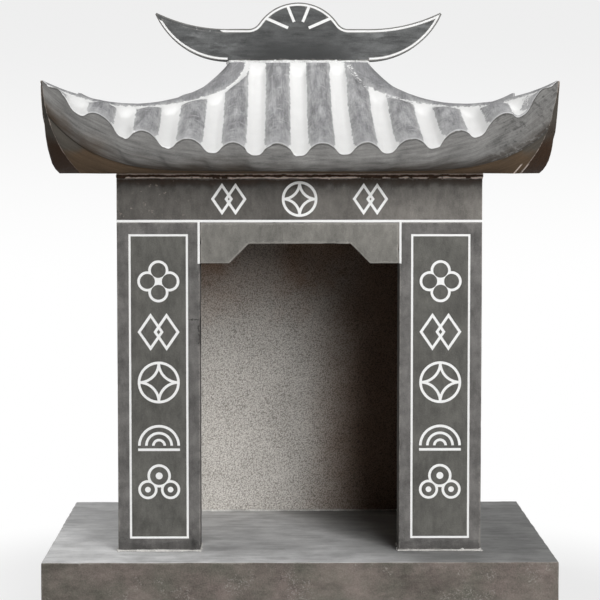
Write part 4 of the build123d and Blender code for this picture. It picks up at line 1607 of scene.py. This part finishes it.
    def rolls_material(self, chosen):
        """Dusty rolls, white troughs and a white line beside each rib."""
        colours, roof = chosen.colours, chosen.roof
        material, wires, shader = new_material("roof rolls")
        place = object_place(wires)
        run = wires.result("ShaderNodeAttribute", "Vector", attribute_name="run")
        look = {
            **HONED,
            "Patch Size": 0.014,
            "Patch Contrast": 0.3,
            "Grain Size": 0.0018,
            "Streak Stretch": (1.6, 0.6, 1.0),
            "Streak Size": 0.003,
            "Streak Contrast": 0.2,
        }
        upslope = run * (1.0, 0.2, 1.0)
        face = stone_face(wires, upslope, colours.roll_dark, colours.roll, look)
        base = face["Color"]
        beside, climb = wires.named("beside"), wires.named("climb")
        drift = wires.noise(place, 0.03, 4, 0.6)
        dusty = wires.ramp(drift * (20 * MM) + climb, 50 * MM, 8 * MM) * 0.35
        base = wires.mix(dusty, base, tinted(colours.roll, 1.12))
        scratches = wires.noise(run * (0.3, 1.3, 1.0), 0.0022, 2, 0.6)
        few = wires.ramp(wires.noise(run, 0.012, 3, 0.6), 0.1, 0.5)
        scratches = wires.ramp(scratches, 0.55, 0.9) * few
        base = wires.mix(scratches * 0.5, base, tinted(colours.roll, 1.3))
        dabs = wires.noise(run * (0.7, 2.0, 1.0), 0.013, 4, 0.65)
        base = wires.mix(wires.ramp(dabs, 0.35, 0.9) * 0.6, base, tinted(colours.roll, 1.35))
        rib = wires.ramp(beside, 0.0, -1.5 * MM)
        base = wires.mix(rib * 0.45, base, colours.roll_dark)

        # Painted highlight: a pale rim along the ends of the rolls at the eave.
        rim_highlight = wires.noise(place, 0.01, 3, 0.6) * (1.2 * MM) + climb
        rim_highlight = wires.ramp(rim_highlight, 4.2 * MM, 2.2 * MM) * 0.65
        base = wires.mix(rim_highlight, base, tinted(colours.roll, 1.4))

        from_trough = wires.named("from_trough")
        # Painted shade: bluish dark marks on the rolls' flanks beside the troughs.
        marks = wires.noise(run * (1.0, 0.5, 1.0), 0.004, 3, 0.6)
        marks = wires.ramp(marks, 0.1, 0.7) * wires.ramp(from_trough, 17 * MM, 11 * MM)
        base = wires.mix(marks * 0.4, base, colours.roll_flank_shade)
        wide = wires.ramp(climb, 26 * MM, 4 * MM) * (2.0 * MM)
        wander = wires.noise(place, 0.03, 2) * (0.8 * MM)
        half = wide + wander + roof.painted_half
        stripe = wires.math("MAXIMUM", from_trough - half, beside * -1.0)
        line = abs(beside - roof.hip_line / 2) - roof.hip_line / 2
        common = {"Coordinates": place, "Raggedness": 1.1 * MM}
        x, y, _ = wires.parts(place)
        end = wires.noise(place, 0.012, 4) * (9 * MM) + x
        low = drift * (3 * MM) + climb
        bare = wires.ramp(end, 226 * MM, 240 * MM) * wires.ramp(low, 9 * MM, 5 * MM)
        bare = wires.math("MAXIMUM", bare, wires.ramp(end, 252 * MM, 266 * MM))
        bare = bare * (y < 0.0) - 0.2
        troughs = wires.group("Paint Coat", {**common, "Distance": stripe, "Loss": bare})
        hips = wires.group("Paint Coat", {**common, "Distance": line, "Loss": wires.named("loss")})
        mask = wires.math("MAXIMUM", troughs["Mask"], hips["Mask"])
        smear = wires.ramp(stripe, 6 * MM, 0.0) * wires.noise(upslope, 0.01, 4, 0.7, signed=False)
        base = wires.mix(smear * 0.45, base, tinted(colours.paint, 0.85))
        base = wires.mix(mask, base, wires.scaled(tinted(colours.paint, 0.93), troughs["Shade"]))
        finish_material(wires, shader, base, face["Roughness"], face["Height"] + troughs["Height"])
        return material

    def level_run(self, wires):
        """Places along and up a face, measured from the fold and not from the wavy eave."""
        run = wires.result("ShaderNodeAttribute", "Vector", attribute_name="run")
        rise = wires.result("ShaderNodeCombineXYZ", 0, {1: wires.named("rise")})
        return run + rise

    def fold_lines(self, wires, run, base):
        """A few thin dark lines of painted shade and a pale line run along the fold below the fascia."""
        stray = wires.noise(run * (0.35, 1.0, 1.0), 0.02, 3) * (2.5 * MM)
        level = wires.named("fold") + wires.named("rise") + stray
        broken = wires.noise(run * (0.12, 1.0, 1.0), 0.006, 3, signed=False)
        # Painted shade: the dark lines lie in the fold.
        for height, half, tone in FOLD_LINES:
            mask = wires.ramp(abs(level - height), half, 0.2 * half) * broken
            base = wires.mix(mask, base, wires.scaled(base, tone))
        pale = wires.ramp(abs(level + 1.3 * MM), 0.9 * MM, 0.2 * MM) * (1.0 - broken)
        return wires.mix(pale * 0.5, base, wires.scaled(base, 1.7))

    def fascia_material(self, chosen):
        """Smooth stone with streaks that follow the eave's curve, browner and more mottled at its ends, with
        painted shade low down where it turns under and a dark line of painted shade just below the eave.
        """
        colours, roof = chosen.colours, chosen.roof
        material, wires, shader = new_material("roof fascia")
        run = self.level_run(wires)
        place = object_place(wires)
        look = {**HONED, "Streak Stretch": (0.1, 1.0, 1.0), "Streak Size": 0.004, "Streak Contrast": 0.32}
        face = stone_face(wires, run, tinted(colours.fascia, 0.86), tinted(colours.fascia, 1.06), look)
        base = self.fold_lines(wires, run, face["Color"])
        x = wires.parts(place)[0]
        brown = wires.math("MAXIMUM", x * -1.0, x * 0.75)
        brown = wires.ramp(brown, 0.6 * roof_high.x, 0.95 * roof_high.x)
        brown = brown * wires.ramp(wires.named("climb"), -16 * MM, -34 * MM)
        patches = wires.noise(place, 0.03, 4, 0.6, signed=False)
        base = wires.mix(brown * patches, base, colours.soffit)
        # Painted shade: darker and browner low down where the fascia turns under, more away from its middle.
        stray = wires.noise(run * (0.25, 1.0, 1.0), 0.02, 4) * (9 * MM)
        low = wires.named("fold") + wires.named("rise") + stray
        side = abs(wires.noise(place, 0.08, 3) * (30 * MM) + x - 25 * MM)
        depth = wires.ramp(side, 45 * MM, 95 * MM) * 0.55 + 0.3
        darker = wires.ramp(low, 26 * MM, 0.0) * depth
        base = wires.mix(darker, base, tinted(colours.soffit, 0.33))
        mottle = wires.noise(place, 0.006, 4, 0.65)
        end = wires.ramp(x, 0.6 * roof_high.x, 0.85 * roof_high.x) * 0.65
        base = wires.mix(wires.ramp(mottle, 0.1, 0.8) * end, base, tinted(colours.fascia, 1.25))
        # Dark mottle at the ends, and painted shade in the lowest few millimetres there.
        dark = wires.ramp(mottle, -0.2, -0.9) * end
        dark = wires.math("MAXIMUM", dark, wires.ramp(low, 7 * MM, 1 * MM) * end)
        base = wires.mix(dark, base, tinted(colours.fascia, 0.3))
        away = 1.0 - wires.named("edge")
        # Painted shade: a dark line just below the eave's edge, stronger under the crests.
        drop = wires.noise(place, 0.008, 3) * (0.5 * MM) - wires.named("climb")
        eave_shade_line = wires.ramp(drop, 0.2 * MM, 0.6 * MM) * wires.ramp(drop, 2.4 * MM, 1.2 * MM)
        crest = wires.ramp(wires.named("from_trough"), 0.8 * roof.painted_half, 1.3 * roof.painted_half)
        eave_shade_line = eave_shade_line * (crest * 0.3 + 0.5)
        base = rub(wires, place, base, away * 0.006, 0.0012)
        base = wires.mix(eave_shade_line, base, tinted(colours.fascia, 0.35))
        finish_material(wires, shader, base, face["Roughness"], face["Height"])
        return material

    def under_material(self, name, upper, lower, turn_height, line_tone):
        """Dark stone below the fascia, browner low down and pale along its arrises and in its scrapes."""
        material, wires, shader = new_material(name)
        run = self.level_run(wires)
        place = object_place(wires)
        x, y, z = wires.parts(place)
        browner = wires.noise(place, 0.04, 4) * (16 * MM) + z
        browner = wires.ramp(browner, roof_low.z + 1.4 * turn_height, roof_low.z + 0.4 * turn_height)
        tone = wires.mix(browner, upper, lower)
        look = {**HONED, "Patch Contrast": 0.16, "Streak Stretch": (0.08, 1.0, 1.0), "Streak Contrast": 0.16}
        face = stone_face(wires, run, wires.scaled(tone, 0.85), wires.scaled(tone, 1.05), look)
        base = self.fold_lines(wires, run, face["Color"])
        leaning = x - (z - roof_low.z) * 0.75
        scraped = wires.ramp(z, roof_low.z + 12 * MM, roof_low.z + 9 * MM) * (y < 0.0)
        for scrape in SCRAPES:
            mask = wires.ramp(abs(leaning - scrape), 1.3 * MM, 0.5 * MM) * scraped
            base = wires.mix(mask, base, line_tone)
        away = (1.0 - wires.named("edge")) * 0.003
        base = rub(wires, place, base, away, 0.0008, line_tone, 0.75)
        finish_material(wires, shader, base, face["Roughness"], face["Height"])
        return material


# ---------------------------------------------------------------- painted lines
class SHRINE_OT_painted_lines(ShrinePiece):
    """Paints the fillings of every incised line and ornament"""

    bl_idname = "shrine.painted_lines"
    bl_label = "Painted lines"

    def build(self, chosen):
        whole = self.paint_material(chosen, "white paint", None)
        worn = self.paint_material(chosen, "worn ridge paint", self.left_arm)
        for name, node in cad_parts.items():
            if node.hide_render:
                continue
            node.data.materials.clear()
            node.data.materials.append(worn if name == "ridge_outline" else whole)

    def left_arm(self, wires, place):
        """1 along the top of the crescent's left arm, where the paint has gone."""
        x, _, z = wires.parts(place)
        arm = wires.ramp(x, -0.45 * ridge_high.x, -0.6 * ridge_high.x)
        rise = x * -0.4 + (ridge_low.z - 18 * MM)
        return arm * wires.ramp(z - rise, -1 * MM, 1 * MM)

    def paint_material(self, chosen, name, worn_away):
        colours = chosen.colours
        material, wires, shader = new_material(name)
        place = object_place(wires)
        loss = worn_away(wires, place) if worn_away else 0.0
        coat = wires.group("Paint Coat", {"Coordinates": place, "Distance": -0.01, "Loss": loss - 0.12})
        bare = stone_face(wires, place, tinted(colours.ridge, 0.8), colours.ridge, HONED)
        grey = wires.noise(place, 0.0022, 4, 0.7, signed=False)
        paint = wires.mix(grey * 0.16, colours.paint, tinted(colours.paint, 0.55))
        base = wires.mix(coat["Mask"], bare["Color"], paint)
        finish_material(wires, shader, base, bare["Roughness"], coat["Height"])
        return material


# ---------------------------------------------------------------- stage
class SHRINE_OT_stage(ShrinePiece):
    """Builds the floor, the lights, the background and the camera"""

    bl_idname = "shrine.stage"
    bl_label = "Stage"

    def build(self, chosen):
        self.floor()
        self.background()
        self.lights()
        self.camera()
        bpy.context.scene.view_settings.view_transform = "Standard"

    def floor(self):
        """A pale floor that keeps the shrine's shadow near it and fades into the background further out."""
        shape = bmesh.new()
        bmesh.ops.create_circle(shape, cap_ends=True, segments=128, radius=FLOOR_RADIUS)
        mesh = bpy.data.meshes.new("floor")
        shape.to_mesh(mesh)
        shape.free()
        floor = placed("floor", mesh)
        material, wires, shader = new_material("pale floor")
        place = object_place(wires)
        tone = wires.noise(place, 0.4, 3)
        pale = wires.mix(tone * 0.02 + 0.1, *FLOOR_TONES)
        shader.inputs["Roughness"].default_value = 0.9
        glow = wires.result("ShaderNodeEmission", 0, {"Color": WHITE, "Strength": 1.0})
        reach = wires.result("ShaderNodeVectorMath", "Value", {0: place}, operation="LENGTH")
        far = wires.ramp(reach, *FADE_REACHES, low=FLOOR_GLOW)
        seen = self.seen(wires)
        wires.feed(shader.inputs["Base Color"], wires.mix(seen, FLOOR_BOUNCE, pale))
        output = next(node for node in wires.tree.nodes if node.type == "OUTPUT_MATERIAL")
        inputs = {0: far * seen, 1: shader.outputs[0], 2: glow}
        wires.feed(output.inputs["Surface"], wires.result("ShaderNodeMixShader", 0, inputs))
        floor.data.materials.append(material)

    def seen(self, wires):
        """1 for what is looked at, straight or in a reflection, and 0 for what only lights other things."""
        path = wires.outputs(wires.add("ShaderNodeLightPath"))
        straight = wires.math("MAXIMUM", path["Is Camera Ray"], path["Is Glossy Ray"])
        return wires.math("MAXIMUM", straight, path["Is Transmission Ray"])

    def background(self):
        """White behind the shrine, a little greyer higher up, and a dim even fill for everything else."""
        world = bpy.data.worlds.new("studio")
        world.use_nodes = True
        bpy.context.scene.world = world
        wires = Wiring(world.node_tree)
        wires.tree.nodes.clear()
        height = wires.parts(wires.result("ShaderNodeTexCoord", "Generated"))[2]
        white = wires.mix(wires.ramp(height, -0.06, 0.07), WHITE, HIGH_GREY)
        shown = wires.result("ShaderNodeBackground", 0, {"Color": white, "Strength": 1.0})
        fill = wires.result("ShaderNodeBackground", 0, {"Color": FILL_COLOUR, "Strength": FILL_STRENGTH})
        mixed = wires.result("ShaderNodeMixShader", 0, {0: self.seen(wires), 1: fill, 2: shown})
        wires.add("ShaderNodeOutputWorld", {0: mixed})

    def lights(self):
        for name, energy, width, height, azimuth, elevation, distance in LAMPS:
            lamp = bpy.data.lights.new(name, "AREA")
            lamp.energy = energy
            lamp.shape = "ELLIPSE"
            lamp.size = width
            lamp.size_y = height
            holder = placed(name, lamp)
            turn, lift = radians(azimuth), radians(elevation)
            away = Vector((np.sin(turn) * np.cos(lift), -np.cos(turn) * np.cos(lift), np.sin(lift)))
            holder.location = LAMP_AIM + away * distance
            holder.rotation_euler = away.to_track_quat("Z", "Y").to_euler()

    def camera(self):
        camera = bpy.data.cameras.new("camera")
        camera.lens = CAMERA_LENS
        camera.sensor_width = 36.0
        camera.clip_start = 0.1
        camera.clip_end = 50.0
        holder = placed("camera", camera)
        holder.location = CAMERA_PLACE
        holder.rotation_euler = (radians(90 - CAMERA_TILT), 0, radians(-CAMERA_TURN))
        bpy.context.scene.camera = holder


CAMERA_LENS = 130.8
CAMERA_PLACE = (-0.028, -2.739, 0.561)
CAMERA_TILT = 3.75  # degrees down
CAMERA_TURN = 0.63  # degrees to the right
LAMP_AIM = Vector((0, 0, 0.4))
FILL_COLOUR = (1.0, 0.85, 0.72)
FILL_STRENGTH = 0.012
WHITE = (1.0, 1.0, 1.0)
HIGH_GREY = (0.86, 0.86, 0.86)  # the background above the shrine
FLOOR_RADIUS = 6.0
FLOOR_TONES = ((0.82, 0.82, 0.82), (0.7, 0.7, 0.7))
FLOOR_BOUNCE = (0.25, 0.25, 0.25)  # how pale the floor is for the light it throws back
FLOOR_GLOW = 0.72  # how much of the floor beside the plinth is background white
FADE_REACHES = (0.38, 0.7)  # from where to where the rest of the floor turns to background white
# Each lamp's name, power in watts, width, height, degrees right of the front, degrees up and distance.
LAMPS = (
    ("key", 164.0, 2.1, 2.8, 22.0, 20.5, 4.0),
    ("top", 31.0, 1.6, 1.6, -95.0, 45.0, 2.6),
    ("rear", 24.0, 2.4, 1.2, -160.0, 18.0, 4.0),
)


# ---------------------------------------------------------------- sidebar and run
BUILD_STEPS = (
    SHRINE_OT_stage,
    SHRINE_OT_plinth,
    SHRINE_OT_mortar,
    SHRINE_OT_pillars,
    SHRINE_OT_lintel,
    SHRINE_OT_opening_head,
    SHRINE_OT_walls,
    SHRINE_OT_roof,
    SHRINE_OT_ridge,
    SHRINE_OT_painted_lines,
)
SETTING_GROUPS = (ShrineWear, ShrineRoof, ShrineHammering, ShrineColours, ShrineSettings)


class SHRINE_PT_panel(bpy.types.Panel):
    """Lists the shrine's build steps and settings."""

    bl_label = "Wayside Shrine"
    bl_idname = "SHRINE_PT_panel"
    bl_space_type = "VIEW_3D"
    bl_region_type = "UI"
    bl_category = "Shrine"

    def draw(self, context):
        for step in BUILD_STEPS:
            self.layout.operator(step.bl_idname)
        chosen = context.scene.shrine
        for group in (chosen.wear, chosen.roof, chosen.hammering, chosen.colours):
            box = self.layout.box()
            for name in group.__annotations__:
                box.prop(group, name)


def register():
    for group in (*SETTING_GROUPS, *BUILD_STEPS, SHRINE_PT_panel):
        bpy.utils.register_class(group)
    bpy.types.Scene.shrine = PointerProperty(type=ShrineSettings)


def unregister():
    del bpy.types.Scene.shrine
    for group in reversed((*SETTING_GROUPS, *BUILD_STEPS, SHRINE_PT_panel)):
        bpy.utils.unregister_class(group)


def make_shared_nodes():
    """The node groups and trees that several steps use."""
    make_stone_face_group()
    make_box_arris_group()
    make_rubbed_arris_group()
    make_paint_group()
    make_hammer_group()
    make_flutes_tree()
    make_hammering_tree()
    make_lumps_tree()


def main():
    register()
    make_shared_nodes()
    for step in BUILD_STEPS:
        family, name = step.bl_idname.split(".")
        getattr(getattr(bpy.ops, family), name)()


if __name__ == "__main__":
    main()
